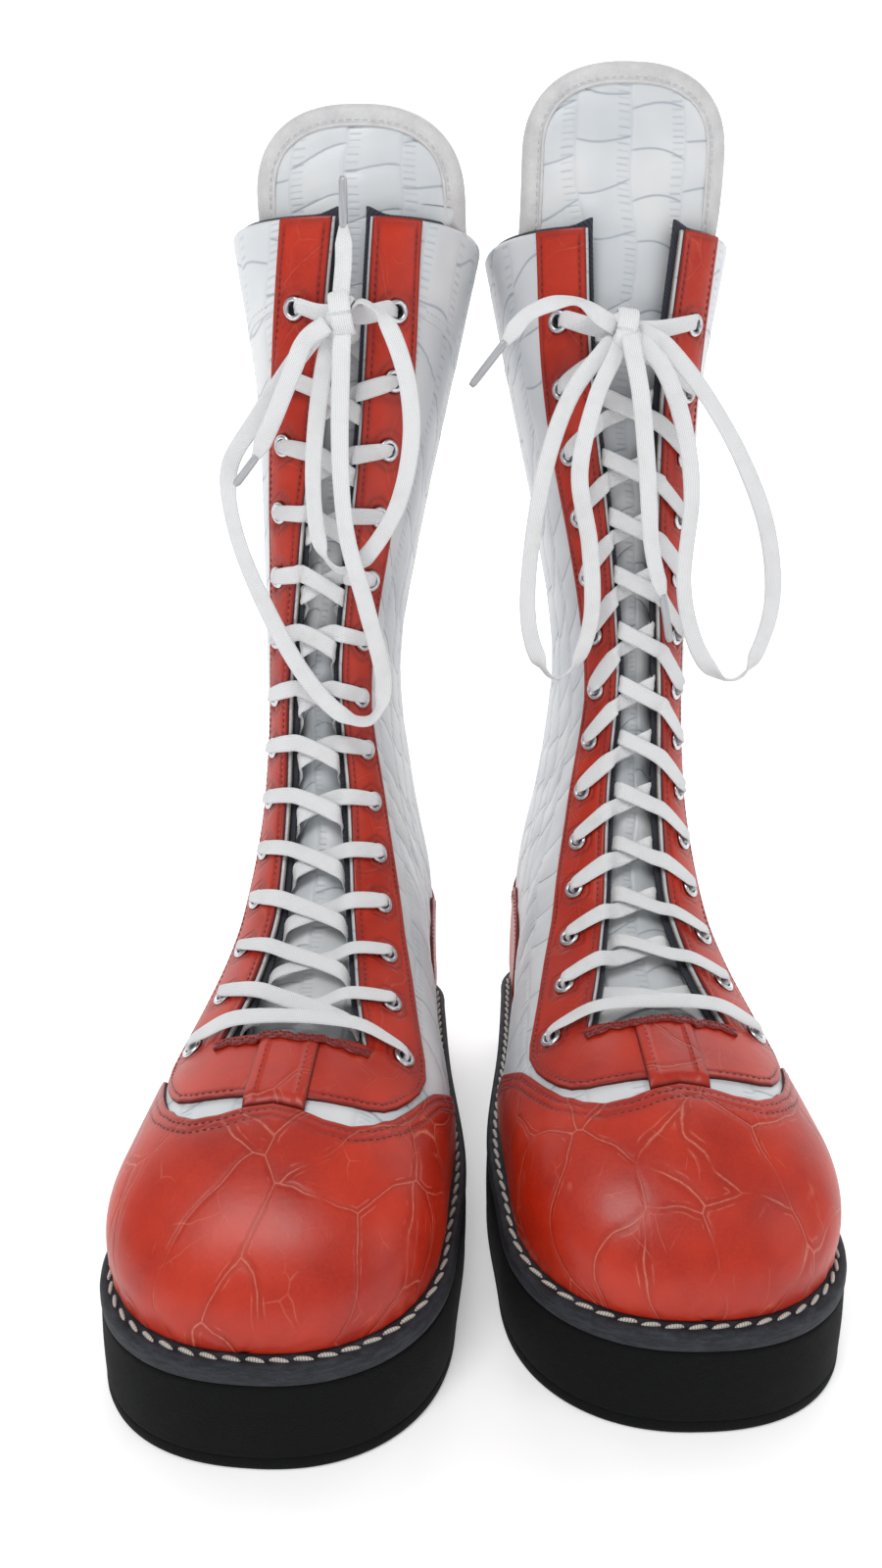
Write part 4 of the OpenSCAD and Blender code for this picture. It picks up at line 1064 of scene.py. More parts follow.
def welt_thread(boot):
    path = sole_loop(3.35, WELT_TOP - 0.1)[0]
    m = Mesh()
    stitches(m, path, np.tile([0.0, 0.0, 1.0], (RING, 1)), 7.2, 6.4, 1.4, 0.8, slant=12, closed=True)
    m.make("welt_thread", boot, ["cream_thread"], ["welt_stitching"], "cream_thread")


def soles(boot):
    top = OUTSOLE_H + PLATFORM_H
    foam = [(6.2, OUTSOLE_H), (6.45, 5.5)] + FOAM_BULGE + [(6.4, top - 0.9), (6.1, top - 0.3), (5.6, top)]
    welt = [(g, top + z) for g, z in WELT_PROFILE]
    for name, profile, mat, node, slot in (
            ("outsole_tread", TREAD_PROFILE, "foam", "outsole", "outsole_rubber"),
            ("platform_foam", foam, "foam", "platform", "platform_foam"),
            ("welt_strip", welt, "welt", "welt", "welt_rubber")):
        m = Mesh()
        block(m, profile)
        m.make(name, boot, [mat], [node], slot)
    welt_thread(boot)


# ---------------------------------------------------------------- leather
vamp_edge = soft_table(VAMP_EDGE, 0.028)
counter_depth = soft_table(COUNTER, 0.12)
COLLAR_T = T_END - COLLAR_H / PAST_RIM
VAMP_SEAMS, COUNTER_SEAMS, FACING_SEAM = (2.8, 6.0), (2.8, 5.4), 2.4
SUNK = 0.15  # how deep the thread lies in the leather
RED, RED_VAMP, WHITE = ["red", "red_edge"], ["red_vamp", "red_edge"], ["white", "white_edge"]


def grain_shift(boot):
    """Shifts the grain, so that the boots don't match."""
    return 300.0 * boot + 37


def creases(u, v, t, s):
    """White leather's grain, with soft wrinkles at the ankle."""
    ankle = bump_at(t, 3.4, 1.3)
    folds = np.sin(v / 5.2 + 1.6 * np.sin(u / 17) + 0.8 * np.sin(v / 19)) * 0.35
    dents = 0.5 * np.sin(u / 15 + 2 * np.sin(v / 26)) * np.sin(v / 21 + np.sin(u / 13))
    return croc(u, v)[0] * 0.9 + ankle * folds + dents * (0.4 + 0.6 * ankle)


def vamp_relief(u, v, t, s):
    """Pleats round the toe, where the leather was drawn in to the welt, and soft dents."""
    p = shell(t, s, 0)
    angle = np.arctan2(p[..., 0], -(p[..., 1] + 150))
    above = np.maximum(girth(t) - np.abs(s), 0)
    toe = smooth01((-140 - p[..., 1]) / 35)
    pleats = np.sin(angle * 38 + 2.2 * np.sin(angle * 7)) * bump_at(above, 2.5, 6.5) * toe
    dents = np.sin(u / 14 + 1.7 * np.sin(v / 18)) * np.sin(v / 16 + 1.3 * np.sin(u / 21))
    return 0.4 * pleats + 0.28 * dents


def facing_ripple(u, v, t, s):
    return 0.22 * np.sin(v / 6.1 + np.sin(u / 7)) * np.sin(v / 23)


def strap_ridges(u, v, t, s):
    return 0.6 * smooth01((np.abs(s) - STRAP_W / 2 + 4.2) / 0.8)


def strap_tuck(t, s):
    """Lets the strap's foot dive under the vamp."""
    clear = smooth01((t - vamp_edge(np.abs(s) / 100)) / 0.045)
    return -1.7 * (1 - clear)[:, None] * outward(t, s)


def counter_waves(u, v, t, s):
    return 0.2 * np.sin(v / 9 + u / 11)


def collar_grain(u, v, t, s):
    return 0.45 * croc(u, v)[0]


def inset(t, s, off):
    """The line off mm to the left of a line of (t, s), measured in the flattened leather."""
    flat = np.stack([s, front_run(t)], 1)
    ahead = unit(np.gradient(flat, axis=0))
    q = flat + off * np.stack([-ahead[:, 1], ahead[:, 0]], 1)
    return np.interp(q[:, 1], FRONT, T_OF) + np.maximum(q[:, 1] - FRONT[-1], 0) / PAST_RIM, q[:, 0]


def line_inside(t, away, off):
    """For each column of a grid, the t at which the points are off mm inside its top edge."""
    found = []
    for far, column in zip(away[::-1].T, t[::-1].T):
        hit = np.argmax(far > off)
        w = (off - far[hit - 1]) / (far[hit] - far[hit - 1])
        found.append(column[hit - 1] + w * (column[hit] - column[hit - 1]))
    return np.array(found)


def sewn(mesh, t, s, d, pitch=2.6, length=1.9, width=0.75, height=0.42, slant=0.0):
    stitches(mesh, shell(t, s, d), outward(t, s), pitch, length, width, height, slant)


def panel(ts, cols, lo, hi):
    """Grids of t and s for a panel that reaches from lo to hi at each t."""
    return np.repeat(ts[:, None], len(cols), 1), lo[:, None] + (hi - lo)[:, None] * cols


def back_panel(ts, q, half):
    """Grids of t and s for a panel across the back seam, half mm wide each way, with q from -1 to 1."""
    grid_t, grid_q = np.meshgrid(ts, q, indexing="ij")
    away = np.maximum(np.abs(grid_q) * half, 0.05)
    return grid_t, np.sign(grid_q + 1e-9) * (girth(grid_t) - away)


def eyelet_centres(boot, side, d):
    return [shell(row_t(r), side * eyelet_s(r, boot), d) for r in range(1, ROWS + 1)]


def vamp(boot, threads):
    across = np.linspace(-1, 1, 261)
    rise = fine_steps(0.002, 1, 60, 1.15)[:, None]
    t = vamp_edge(np.abs(across)) * rise
    s = across * girth(t)
    edge = shell(t[-1], s[-1], OVER_OUT)
    m = Mesh()
    skin(m, t, s, OVER_IN, OVER_OUT, 1, relief=vamp_relief, uv_shift=grain_shift(boot), seams=VAMP_SEAMS,
         seam_edge=edge)
    m.make("vamp_leather", boot, RED_VAMP, ["vamp"], "red_leather")
    away = distance_to(shell(t, s, OVER_OUT).reshape(-1, 3), edge).reshape(t.shape)
    sewn_part = slice(8, -8)
    for off in VAMP_SEAMS:
        line = line_inside(t[:, sewn_part], away[:, sewn_part], off)
        sewn(threads, line, across[sewn_part] * girth(line), OVER_OUT - 0.18)


def quarter(boot, name, side):
    """A white side, up to the collar band."""
    ts = np.concatenate([np.linspace(0.8, 1.58, 50), np.linspace(THROAT_T, THROAT_TOP_T, 7),
                         fine_steps(1.68, COLLAR_T - 0.01, 335, 1.7, ends=(0.4, 1.1))])
    lo = gap(ts, boot) - 0.9 * smooth01((ts - THROAT_TOP_T) / 0.1)
    hi = np.minimum(girth(ts) - 0.1, table(QUARTER_EDGE, ts))
    cols = fine_steps(0, 1, 120, 1.7, ends=(0.4, 1.2))
    m = Mesh()
    skin(m, *panel(ts, cols, lo, hi), BASE_IN, 0, side, relief=creases, holes=eyelet_centres(boot, side, 0),
         uv_shift=grain_shift(boot) + 11 * side)
    m.make("quarter_" + name + "_leather", boot, WHITE, ["quarter_" + name], "white_leather")


def facing(boot, name, side, threads):
    """A red eyelet facing with its lobe."""
    ts = np.concatenate([1 + np.linspace(0, 1, 14) ** 2 * 0.1, np.linspace(1.11, 1.58, 26),
                         np.linspace(THROAT_T, THROAT_TOP_T, 7), fine_steps(1.68, T_END, 365, 1.5)])
    grids = panel(ts, fine_steps(0, 1, 25, 1.3), gap(ts, boot), facing_edge(ts, boot))
    m = Mesh()
    skin(m, *grids, OVER_IN, OVER_OUT, side, relief=facing_ripple, holes=eyelet_centres(boot, side, OVER_OUT),
         uv_shift=grain_shift(boot) + 90, seams=(FACING_SEAM,))
    m.make("eyestay_" + name + "_leather", boot, RED, ["eyestay_" + name], "red_leather")
    line = np.linspace(1.85, 7.93, 300)
    sewn(threads, line, side * (gap(line, boot) + FACING_SEAM), OVER_OUT - SUNK)
    line = np.concatenate([np.linspace(1.0, 1.1, 40), np.linspace(1.11, 7.93, 360)])
    line_t, line_s = inset(line, facing_edge(line, boot), FACING_SEAM)
    keep = line_s > 12
    sewn(threads, line_t[keep], side * line_s[keep], OVER_OUT - SUNK)


def throat_strap(boot, threads):
    """The strap comes out from under the vamp's edge and runs up the middle of the throat."""
    across = fine_steps(-1, 1, STRAP_W, 1.0) * STRAP_W / 2
    rise, s = np.meshgrid(fine_steps(0, 1, 30, 1.0), across, indexing="ij")
    foot = vamp_edge(np.abs(s) / float(girth(1))) + 0.006
    m = Mesh()
    skin(m, foot + (THROAT_T - foot) * rise, s, STRAP_IN - 0.2, STRAP_IN + 1.0, 1, relief=strap_ridges,
         uv_shift=grain_shift(boot) + 140, lift=strap_tuck)
    m.make("throat_strap_leather", boot, RED_VAMP, ["throat_strap"], "red_leather")
    for sign in (-1, 1):
        sewn(threads, np.linspace(1.0, 1.55, 40), sign * (STRAP_W / 2 - 3.4), STRAP_IN + 1.35, width=0.7)


def throat_bar(boot, threads):
    """The folded bar along the throat's edge, with rough stitches over it."""
    s = np.linspace(-28, 28, 90)
    sway = 0.012 * np.sin(s * 0.33 + 1.4 * boot) + 0.006 * np.sin(s * 0.9)
    over_strap = smooth01((STRAP_W / 2 + 2.2 - np.abs(s)) / 2.4)
    t, d = 1.565 + sway, OVER_OUT + 0.35 + 1.3 * over_strap
    m = Mesh()
    ribbon(m, shell(t, s, d), upward(t, s), 3.4 + 0.5 * np.sin(s * 1.1), 1.7)
    m.make("throat_bar_fold", boot, ["red"], slot="red_leather")
    for row in (-0.018, 0.02):
        wobble = row + 0.008 * np.sin(s * 1.6 + row * 90)
        sewn(threads, t + wobble, s, d + 0.55, pitch=1.6, length=2.0, width=0.95, height=0.55, slant=22)


def heel_counter(boot, threads):
    ts = fine_steps(3.25, 5.65, 100, 1.8)
    m = Mesh()
    skin(m, *back_panel(ts, fine_steps(-1, 1, 130, 2.0), counter_depth(ts)[:, None]), OVER_IN, OVER_OUT, 1,
         relief=counter_waves, uv_shift=grain_shift(boot) + 200, seams=COUNTER_SEAMS[:1])
    m.make("heel_counter_leather", boot, RED_VAMP, ["heel_counter"], "red_leather")
    line = np.linspace(3.3, 5.6, 220)
    for side in (-1, 1):
        for off in COUNTER_SEAMS:
            depth = np.maximum(counter_depth(line) - off * 1.15, 1)
            sewn(threads, line, side * (girth(line) - depth), OVER_OUT - SUNK)


def back_strip(boot, threads):
    grids = back_panel(fine_steps(5.6, T_END, 140, 1.8), fine_steps(-1, 1, 26, 1.6), BACK_STRIP_W)
    m = Mesh()
    skin(m, *grids, OVER_IN, OVER_OUT, 1, uv_shift=grain_shift(boot) + 260, seams=(FACING_SEAM,))
    m.make("back_strip_leather", boot, RED, ["back_strip"], "red_leather")
    line = np.linspace(5.66, 7.95, 160)
    for side in (-1, 1):
        sewn(threads, line, side * (girth(line) - BACK_STRIP_W + FACING_SEAM), OVER_OUT - SUNK)


def collar_band(boot):
    band, thread_rows = Mesh(), Mesh()
    ts = fine_steps(COLLAR_T - 0.03, T_END, 29, 1.5)
    grids = panel(ts, fine_steps(0, 1, 120, 1.9, ends=(0.4, 1.2)), gap(ts, boot) - 0.9, girth(ts) - 0.1)
    s = np.linspace(float(gap(T_END, boot)) + FACING_W + 2, float(girth(COLLAR_T)) - BACK_STRIP_W - 1, 120)
    for side in (-1, 1):
        skin(band, *grids, BASE_IN + 0.05, 0.28, side, relief=collar_grain,
             holes=eyelet_centres(boot, side, 0.28)[:1], uv_shift=grain_shift(boot) + 55)
        sewn(thread_rows, np.full_like(s, COLLAR_T + 0.02), side * s, 0.15)
    band.make("collar_band_leather", boot, WHITE, ["collar_band"], "white_leather")
    thread_rows.make("collar_thread", boot, ["white_thread"], slot="cream_thread")


def lining(boot):
    """The lining stands just above the rim, with curled corners at the front."""
    def corner(t, s):
        k = smooth01((t - 7.93) / 0.09) * bump_at(np.abs(s), float(gap(T_END, boot)) - 2.0, 5.0)
        return k[:, None] * np.array([0, -0.6, 2.6])
    m = Mesh()
    ts = fine_steps(1.67, T_END + 0.022, 365, 2.1, ends=(0.4, 1.1))
    hi = girth(ts) - np.where(ts < 5, 3.5, 0.1)
    grids = panel(ts, fine_steps(0, 1, 130, 2.3, ends=(0.4, 1.2)), gap(ts, boot) - 2.5, hi)
    for side in (-1, 1):
        holes = eyelet_centres(boot, side, LINING_OUT)
        skin(m, *grids, LINING_IN, LINING_OUT, side, holes=holes, lift=corner)
    ts = np.linspace(0.3, 1.6, 24)
    half = 0.93 * girth(ts)
    skin(m, *panel(ts, np.linspace(0, 1, 41), -half, half), LINING_IN, LINING_OUT, 1)
    m.make("lining_cloth", boot, ["lining", "dark_edge"], ["lining"], "lining_cloth")


def leather(boot):
    threads = Mesh()
    vamp(boot, threads)
    for name, side in SIDES.items():
        quarter(boot, name, side)
        facing(boot, name, side, threads)
    throat_strap(boot, threads)
    throat_bar(boot, threads)
    heel_counter(boot, threads)
    back_strip(boot, threads)
    collar_band(boot)
    threads.make("upper_thread", boot, ["red_thread"], slot="red_leather")
    lining(boot)


# ---------------------------------------------------------------- tongue
HINGE_Z, TOP_ROUND = 396.0, 31.0
FOLD_FROM, FOLD_TO = 0.389, 0.403  # where the bend begins and ends, in the frame's metres
RIM_Y = RIDGE[7][0] - TONGUE_OUT
BINDING = [(5.9, 1.7), (5.4, 2.1), (4.7, 1.95), (3.9, 2.25), (2.4, 2.65), (1.0, 2.5), (-0.4, 1.9),
           (-1.2, 0.8), (-1.3, -0.4), (-0.7, -1.5), (0.8, -2.3), (2.6, -2.5), (4.4, -2.2), (5.9, -1.7)]


def top_point(x, z, out):
    """A point of the tongue's free top, which bows back at its sides, out mm in front of its middle layer."""
    x = x + TONGUE_SHIFT[worked_on["boot"]]
    bow_back = 0.003 + 0.0065 * np.exp((RIM_Z - z) / 14)
    y = RIM_Y + TONGUE_T / 2 + bow_back * x * x + 0.04 * (z - RIM_Z) - out
    return np.stack(np.broadcast_arrays(x + LEAN[6], y, z), -1)


def top_outline(a, g, boot):
    """Half width and height of the tongue's rounded top, grown by g, at the angle a."""
    c, s = np.maximum(np.cos(a), 0) ** 0.8, np.maximum(np.sin(a), 0) ** 0.8
    return (TONGUE_W - 3 + g) * c, TONGUE_TIP[boot] - TOP_ROUND - 3 + (TOP_ROUND + g) * s


def fold_zone(boot):
    x, y, _ = place([LEAN[6], RIM_Y, HINGE_Z], boot)
    return Vector((x, y, FOLD_FROM)), Vector((x, y, FOLD_TO))


def tongue_half_width(ts):
    half = np.where(ts < 2, 22 + 8 * (ts - 1.2), np.minimum(TONGUE_W - 7, 28 + 1.5 * (ts - 2)))
    return half + (TONGUE_W - 3 - half) * smooth01((ts - 6.4) / 1.3)


def tongue_middle(boot, ts, k):
    """The tongue's middle layer, its half widths, and the distance up it."""
    half = tongue_half_width(ts)
    low = shell(np.repeat(ts[:, None], len(k), 1), half[:, None] * k, TONGUE_OUT - TONGUE_T / 2)
    a = np.linspace(0, math.pi / 2, 34)
    a = a[-1] * (1 - (1 - a / a[-1]) ** 1.3)
    w_top, z_top = top_outline(a, 0, boot)
    z_mid = np.linspace(HINGE_Z + 1, z_top[0], 12)[:-1]
    w_top = np.maximum(np.concatenate([np.full(len(z_mid), TONGUE_W - 3.0), w_top]), 3)
    p = np.concatenate([low, top_point(w_top[:, None] * k, np.concatenate([z_mid, z_top])[:, None], 0)])
    lo, hi = len(low) - 14, len(low) + 8
    for _ in range(40):  # joins the two parts smoothly
        p[lo:hi] = (p[lo - 1:hi - 1] + 2 * p[lo:hi] + p[lo + 1:hi + 1]) / 4
    return p, np.concatenate([half, w_top]), distance_along(p[:, len(k) // 2])


def tongue_leather(boot):
    k = fine_steps(-1, 1, 2 * TONGUE_W, 1.25)
    ts = np.linspace(1.2, 7.75, 250)
    p, half, run = tongue_middle(boot, ts, k)
    normal = unit(np.cross(np.gradient(p, axis=1), np.gradient(p, axis=0)))
    u = half[:, None] * k + 60 + 400 * boot
    v = np.repeat(run[:, None], len(k), 1) + 20 * boot
    laced = smooth01((7.2 - np.concatenate([ts, np.full(len(p) - len(ts), 9)])) / 0.8)[:, None]
    folds = np.sin(v / 7.4 + 1.2 * np.sin(u / 9) + 0.9 * np.sin(v / 31)) * 0.8
    relief = croc(u, v)[0] + laced * folds
    faces = grid_faces(*u.shape)
    edges = border_loops(faces)
    points = p.reshape(-1, 3)
    rim = distance_to(points, points[np.unique(edges)])
    soft = np.clip(rim / 2.0, 0, 1).reshape(u.shape)
    thick = TONGUE_T / 2 * np.sqrt(1 - (1 - soft) ** 2)
    outer = p + normal * (thick + relief * soft)[..., None]
    inner = p - normal * thick[..., None]
    walls = side_walls(edges, u.size)
    m = Mesh()
    m.add(np.concatenate([outer, inner]), np.concatenate([faces, faces[:, ::-1] + u.size, walls]),
          np.tile(np.stack([u.ravel(), v.ravel()], 1), (2, 1)),
          [0] * (2 * len(faces)) + [1] * len(walls), rim=np.full(2 * u.size, 9.0))
    m.make("tongue_leather", boot, ["tongue", "white_edge"], ["tongue", "tongue_top"], "white_leather",
           fold=fold_zone(boot))


def binding_line(boot):
    """The tongue top's outline as [x, z], from side to side over the tip, and its inward direction."""
    wx, wz = top_outline(np.linspace(0, math.pi / 2, 60), 0.9, boot)
    z_low = np.linspace(384, wz[0], 18)[:-1]
    side_x, side_z = np.concatenate([np.full(len(z_low), wx[0]), wx]), np.concatenate([z_low, wz])
    x, z = np.concatenate([-side_x, side_x[-2::-1]]), np.concatenate([side_z, side_z[-2::-1]])
    line = smooth_path(np.column_stack([x, z, 0 * x]), 1.6)[:, :2]
    ahead = unit(np.gradient(line, axis=0))
    return line, np.stack([ahead[:, 1], -ahead[:, 0]], 1)


def tongue_binding(boot):
    """A folded band round the tongue's top, with a piping line inside it and a row of stitches."""
    line, inward = binding_line(boot)

    def along(off, out):
        q = line + inward * off
        return top_point(q[:, 0], q[:, 1], out)
    n, c = len(line), len(BINDING)
    u, v = np.meshgrid(np.arange(n) * 1.6, np.arange(c) * 1.4, indexing="ij")
    points = np.stack([along(off, out) for off, out in BINDING], 1)
    faces = grid_faces(n, c, wrap=True).tolist() + end_faces(n, c)
    m = Mesh()
    m.add(points, [f[::-1] for f in faces], np.stack([u, v], -1))
    ribbon(m, along(6.3, 1.75), np.tile([0.0, 1.0, 0.0], (n, 1)), 1.4, 1.4)
    m.make("tongue_binding_band", boot, ["binding"], ["tongue_binding"], "binding_leather",
           fold=fold_zone(boot))
    m = Mesh()
    stitches(m, along(4.7, 2.0), np.tile([0.0, -1.0, 0.0], (n, 1)), 3.0, 2.2, 0.6, 0.4)
    m.make("binding_thread", boot, ["white_thread"], slot="cream_thread", fold=fold_zone(boot))


# ---------------------------------------------------------------- eyelets and laces
EYELET = [(2.5, -6.4), (2.5, 0.55), (2.62, 0.85), (2.95, 1.08), (3.4, 1.12), (3.9, 0.95), (4.25, 0.62),
          (4.4, 0.2), (4.35, 0.0), (3.0, 0.0), (3.0, -6.4)]
EYELET_SIDES = 32
FLAT, PINCHED = (LACE_W, LACE_T), (3.6, 1.8)
OVER, THROUGH = LACE_OVER + 0.3, LACE_UNDER - 0.4


def eyelets(boot):
    angle = np.linspace(0, 2 * math.pi, EYELET_SIDES + 1)[:-1]
    c, s = np.cos(angle)[:, None], np.sin(angle)[:, None]
    faces = grid_faces(len(EYELET) + 1, EYELET_SIDES, wrap=True) % (len(EYELET) * EYELET_SIDES)
    for name, side in SIDES.items():
        m = Mesh()
        for r, centre in enumerate(eyelet_centres(boot, side, OVER_OUT), 1):
            at = (row_t(r), side * eyelet_s(r, boot))
            n = outward(*at)
            a = unit(np.cross(n, upward(*at)))
            b = np.cross(n, a)
            m.add(np.stack([centre + q * (c * a + s * b) + z * n for q, z in EYELET]), faces)
        m.make("eyelet_rings_" + name, boot, ["nickel"], ["eyelets_" + name], "eyelet_metal")


def crossing(r, side, boot):
    """The t of row r and of the row above it, and the s of the two eyelets that a strand joins."""
    return row_t(r), row_t(r - 1), side * eyelet_s(r, boot), -side * eyelet_s(r - 1, boot)


def strand(r, side, boot):
    """[t, s, d, width, thickness] along a strand: over one facing, across the gap, under the other."""
    ta, tb, sa, sb = crossing(r, side, boot)
    ga, gb = side * float(gap(ta, boot)), -side * float(gap(tb, boot))
    level, k = (0.3 if side > 0 else -2.1), (0.7 if abs(ga) < 12 else 0.5)
    stations = [(sa, OVER, *PINCHED), (sa - side * 4, OVER + 0.4, LACE_W * 0.9, LACE_T),
                (0.92 * ga, OVER - 0.6, *FLAT), (k * ga, level, *FLAT), (k * gb, level, *FLAT),
                (0.92 * gb, LACE_UNDER, *FLAT), (sb + side * 5, LACE_UNDER, *FLAT), (sb, THROUGH, *PINCHED)]
    return [[ta + (tb - ta) * (s - sa) / (sb - sa), s, *rest] for s, *rest in stations]


def strand_in(r, side, boot):
    """The same joined from the inside: a mirrored strand, run the other way."""
    ta, tb, sa, sb = crossing(r, side, boot)
    mirrored = strand(r, -side, boot)[::-1]
    first, last = mirrored[0][1], mirrored[-1][1]
    shares = [(q[1] - first) / (last - first) for q in mirrored]
    return [[ta + (tb - ta) * f, sa + (sb - sa) * f, *q[2:]] for f, q in zip(shares, mirrored)]


def hidden_strand(r, side, boot):
    """A strand that stays inside, behind the tongue's edge."""
    ta, tb, sa, sb = crossing(r, side, boot)
    level = -4.3 if side > 0 else -6.7
    middle = [[ta + (tb - ta) * f, sa + (sb - sa) * f, d, *FLAT]
              for f, d in ((0.12, LACE_UNDER), (0.4, level), (0.6, level), (0.88, LACE_UNDER))]
    return [[ta, sa, THROUGH, *PINCHED]] + middle + [[tb, sb, THROUGH, *PINCHED]]


def run_up(side, r, boot):
    """One half of the lace, from row r to the first row."""
    if r < 2:
        return []
    if (boot == 1 and r == ROWS) or (boot == 0 and r == 2):
        here = hidden_strand(r, side, boot)
    else:
        here = strand(r, side, boot) if boot == 1 else strand_in(r, side, boot)
    return here + run_up(-side, r - 1, boot)


def half_lace(side, boot):
    t, s = row_t(ROWS), side * eyelet_s(ROWS, boot)
    start = [[t + 0.06, s * 0.5, OVER + 0.6, *FLAT], [t + 0.03, s * 0.8, OVER + 0.6, *FLAT],
             [t, s, OVER, *PINCHED]]
    return start + run_up(side, ROWS, boot)


def laces(boot):
    middle = [[row_t(ROWS) + 0.06, 0, LACE_OVER - 0.3, *FLAT]]
    route = np.array(half_lace(-1, boot)[::-1] + middle + half_lace(1, boot))
    t, s, d = route[:, 0], route[:, 1], route[:, 2]
    path = smooth_path(np.column_stack([shell(t, s, d), route[:, 3:], upward(t, s)]), 1.3)
    step = np.arange(len(path))
    share = points_at(route[:, :2], np.linspace(0, 1, len(route)), np.linspace(0, 1, len(path)))
    sway = 0.22 * np.sin(step / 17.0 + boot)
    wide = path[:, 5:8] + sway[:, None] * outward(share[:, 0], share[:, 1])
    m = Mesh()
    ribbon(m, path[:, :3], wide, path[:, 3] * (1 + 0.04 * np.sin(step / 5.3)), path[:, 4])
    m.make("lace_band", boot, ["lace"], ["lace"], "lace_cloth")


# The bow, as [outward, y, z] in the boot's frame.
KNOT = ([-9, -50, 354], [-8, -50, 351])
LOOPS = ([[[-17, -54, 358], [-26, -54, 350], [-33, -52, 330], [-34, -50, 308], [-28, -49, 284],
           [-15, -48, 265], [-5, -48, 261], [2, -48, 271], [4, -49, 294], [1, -51, 322], [-4, -53, 344]],
          [[0, -55, 347], [10, -54, 336], [25, -48, 318], [38, -44, 299], [36, -45, 275], [25, -47, 247],
           [10, -48, 220], [-5, -49, 204], [-18, -49, 202], [-23, -51, 218], [-17, -55, 247], [-10, -57, 275],
           [-8, -57, 305], [-9, -56, 340]]],
         [[[-16, -53, 343], [-28, -53, 327], [-37, -52, 300], [-42, -49, 262], [-41, -48, 235],
           [-32, -47, 217], [-22, -47, 222], [-16, -48, 242], [-18, -50, 270], [-24, -56, 298],
           [-19, -57, 325], [-12, -56, 341]],
          [[1, -55, 344], [9, -55, 334], [17, -53, 315], [22, -51, 290], [21, -50, 255], [28, -48, 230],
           [40, -45, 216], [52, -42, 219], [61, -40, 245], [57, -41, 275], [44, -44, 303], [27, -48, 327],
           [12, -50, 343], [1, -51, 351]]])
ENDS = ([[[-6, -53, 342], [-8, -54, 352], [-9, -54, 362], [-10, -54, 372], [-10, -53, 384]],
         [[-4, -57, 350], [4, -58, 344], [9, -58, 334], [17, -57, 317], [25, -54, 303]]],
        [[[-11, -54, 352], [-17, -54, 355], [-28, -54, 361], [-44, -52, 357], [-54, -50, 346]],
         [[-7, -58, 349], [-6, -60, 343], [-2, -60, 326], [2, -58, 300], [6, -55, 270], [12, -53, 250]]])
AGLET_TO = ([[-10, -53, 400], [34, -51, 293]], [[-66, -45, 331], [16, -52, 232]])


def loose(points):
    """A hanging ribbon's path and the direction of its width, edge-on where the path bends hard."""
    path = smooth_path(points, 1.5)
    ahead = unit(np.gradient(path, axis=0))
    bend = np.linalg.norm(np.gradient(ahead, axis=0), axis=1) / 1.5
    k = np.hanning(19)
    bend = np.convolve(np.pad(bend, 9, mode="edge"), k / k.sum(), "valid")
    phi = 1.15 * smooth01((bend - 0.02) / 0.06) + 0.25 * np.sin(np.arange(len(path)) / 13.0)
    flat = unit(np.cross(ahead, [0, 1, 0]))
    return path, flat * np.cos(phi)[:, None] + np.cross(ahead, flat) * np.sin(phi)[:, None]


def declare(ob, path, boot, far_end, **more):
    """Works out where a free stretch of lace lies in the frame's metres; nothing is kept or passed on."""
    world = place(path, boot)


def knot_rings(mesh, knot):
    """Two turns of lace round the knot."""
    a = np.linspace(0, 2 * math.pi, 41)[:-1]
    c, s = np.cos(a), np.sin(a)
    for shift, tilt, depth, height, width in ((0.0, 0.15, 5.0, 7.2, 8.2), (1.2, -0.5, 3.6, 6.2, 6.6)):
        ring = knot + np.stack([shift + tilt * height * s, -3.0 - depth * c, height * s], 1)
        ribbon(mesh, ring, np.tile([1.0, 0, -tilt], (len(a), 1)), width, 1.5, closed=True)


def tie(mesh, knot, side, boot):
    """The lace from a first eyelet to the knot."""
    hole = shell(row_t(1), side * (eyelet_s(1, boot) + 0.8), -0.5)
    beside = shell(row_t(1), side * (eyelet_s(1, boot) - 3.5), LACE_OVER + 0.9)
    path = smooth_path([hole, beside, (beside + knot) / 2 - [0, 2.6, 1.2], knot + [0, -2.5, 0]], 1.2)
    n = len(path)
    step = np.arange(n)
    wide = np.stack([0.25 * np.sin(step / 6.0), np.full(n, -0.3), np.ones(n)], 1)
    narrowed = np.interp(step, [0, 2, 6, n - 6, n], [0.62, 0.66, 0.95, 1, 0.7])
    ribbon(mesh, path, wide, LACE_W * narrowed, LACE_T)


def bow_loop(points, knot, name, boot):
    roots = [knot + 0.25 * (np.array(q, float) - knot) - [0, 1.5, 0] for q in (points[0], points[-1])]
    path, wide = loose([roots[0], *points, roots[1]])
    m = Mesh()
    ribbon(m, path, wide, LACE_W, LACE_T)
    declare(m.make(name, boot, ["lace"], ["bow"], "lace_cloth"), path, boot, "knot")


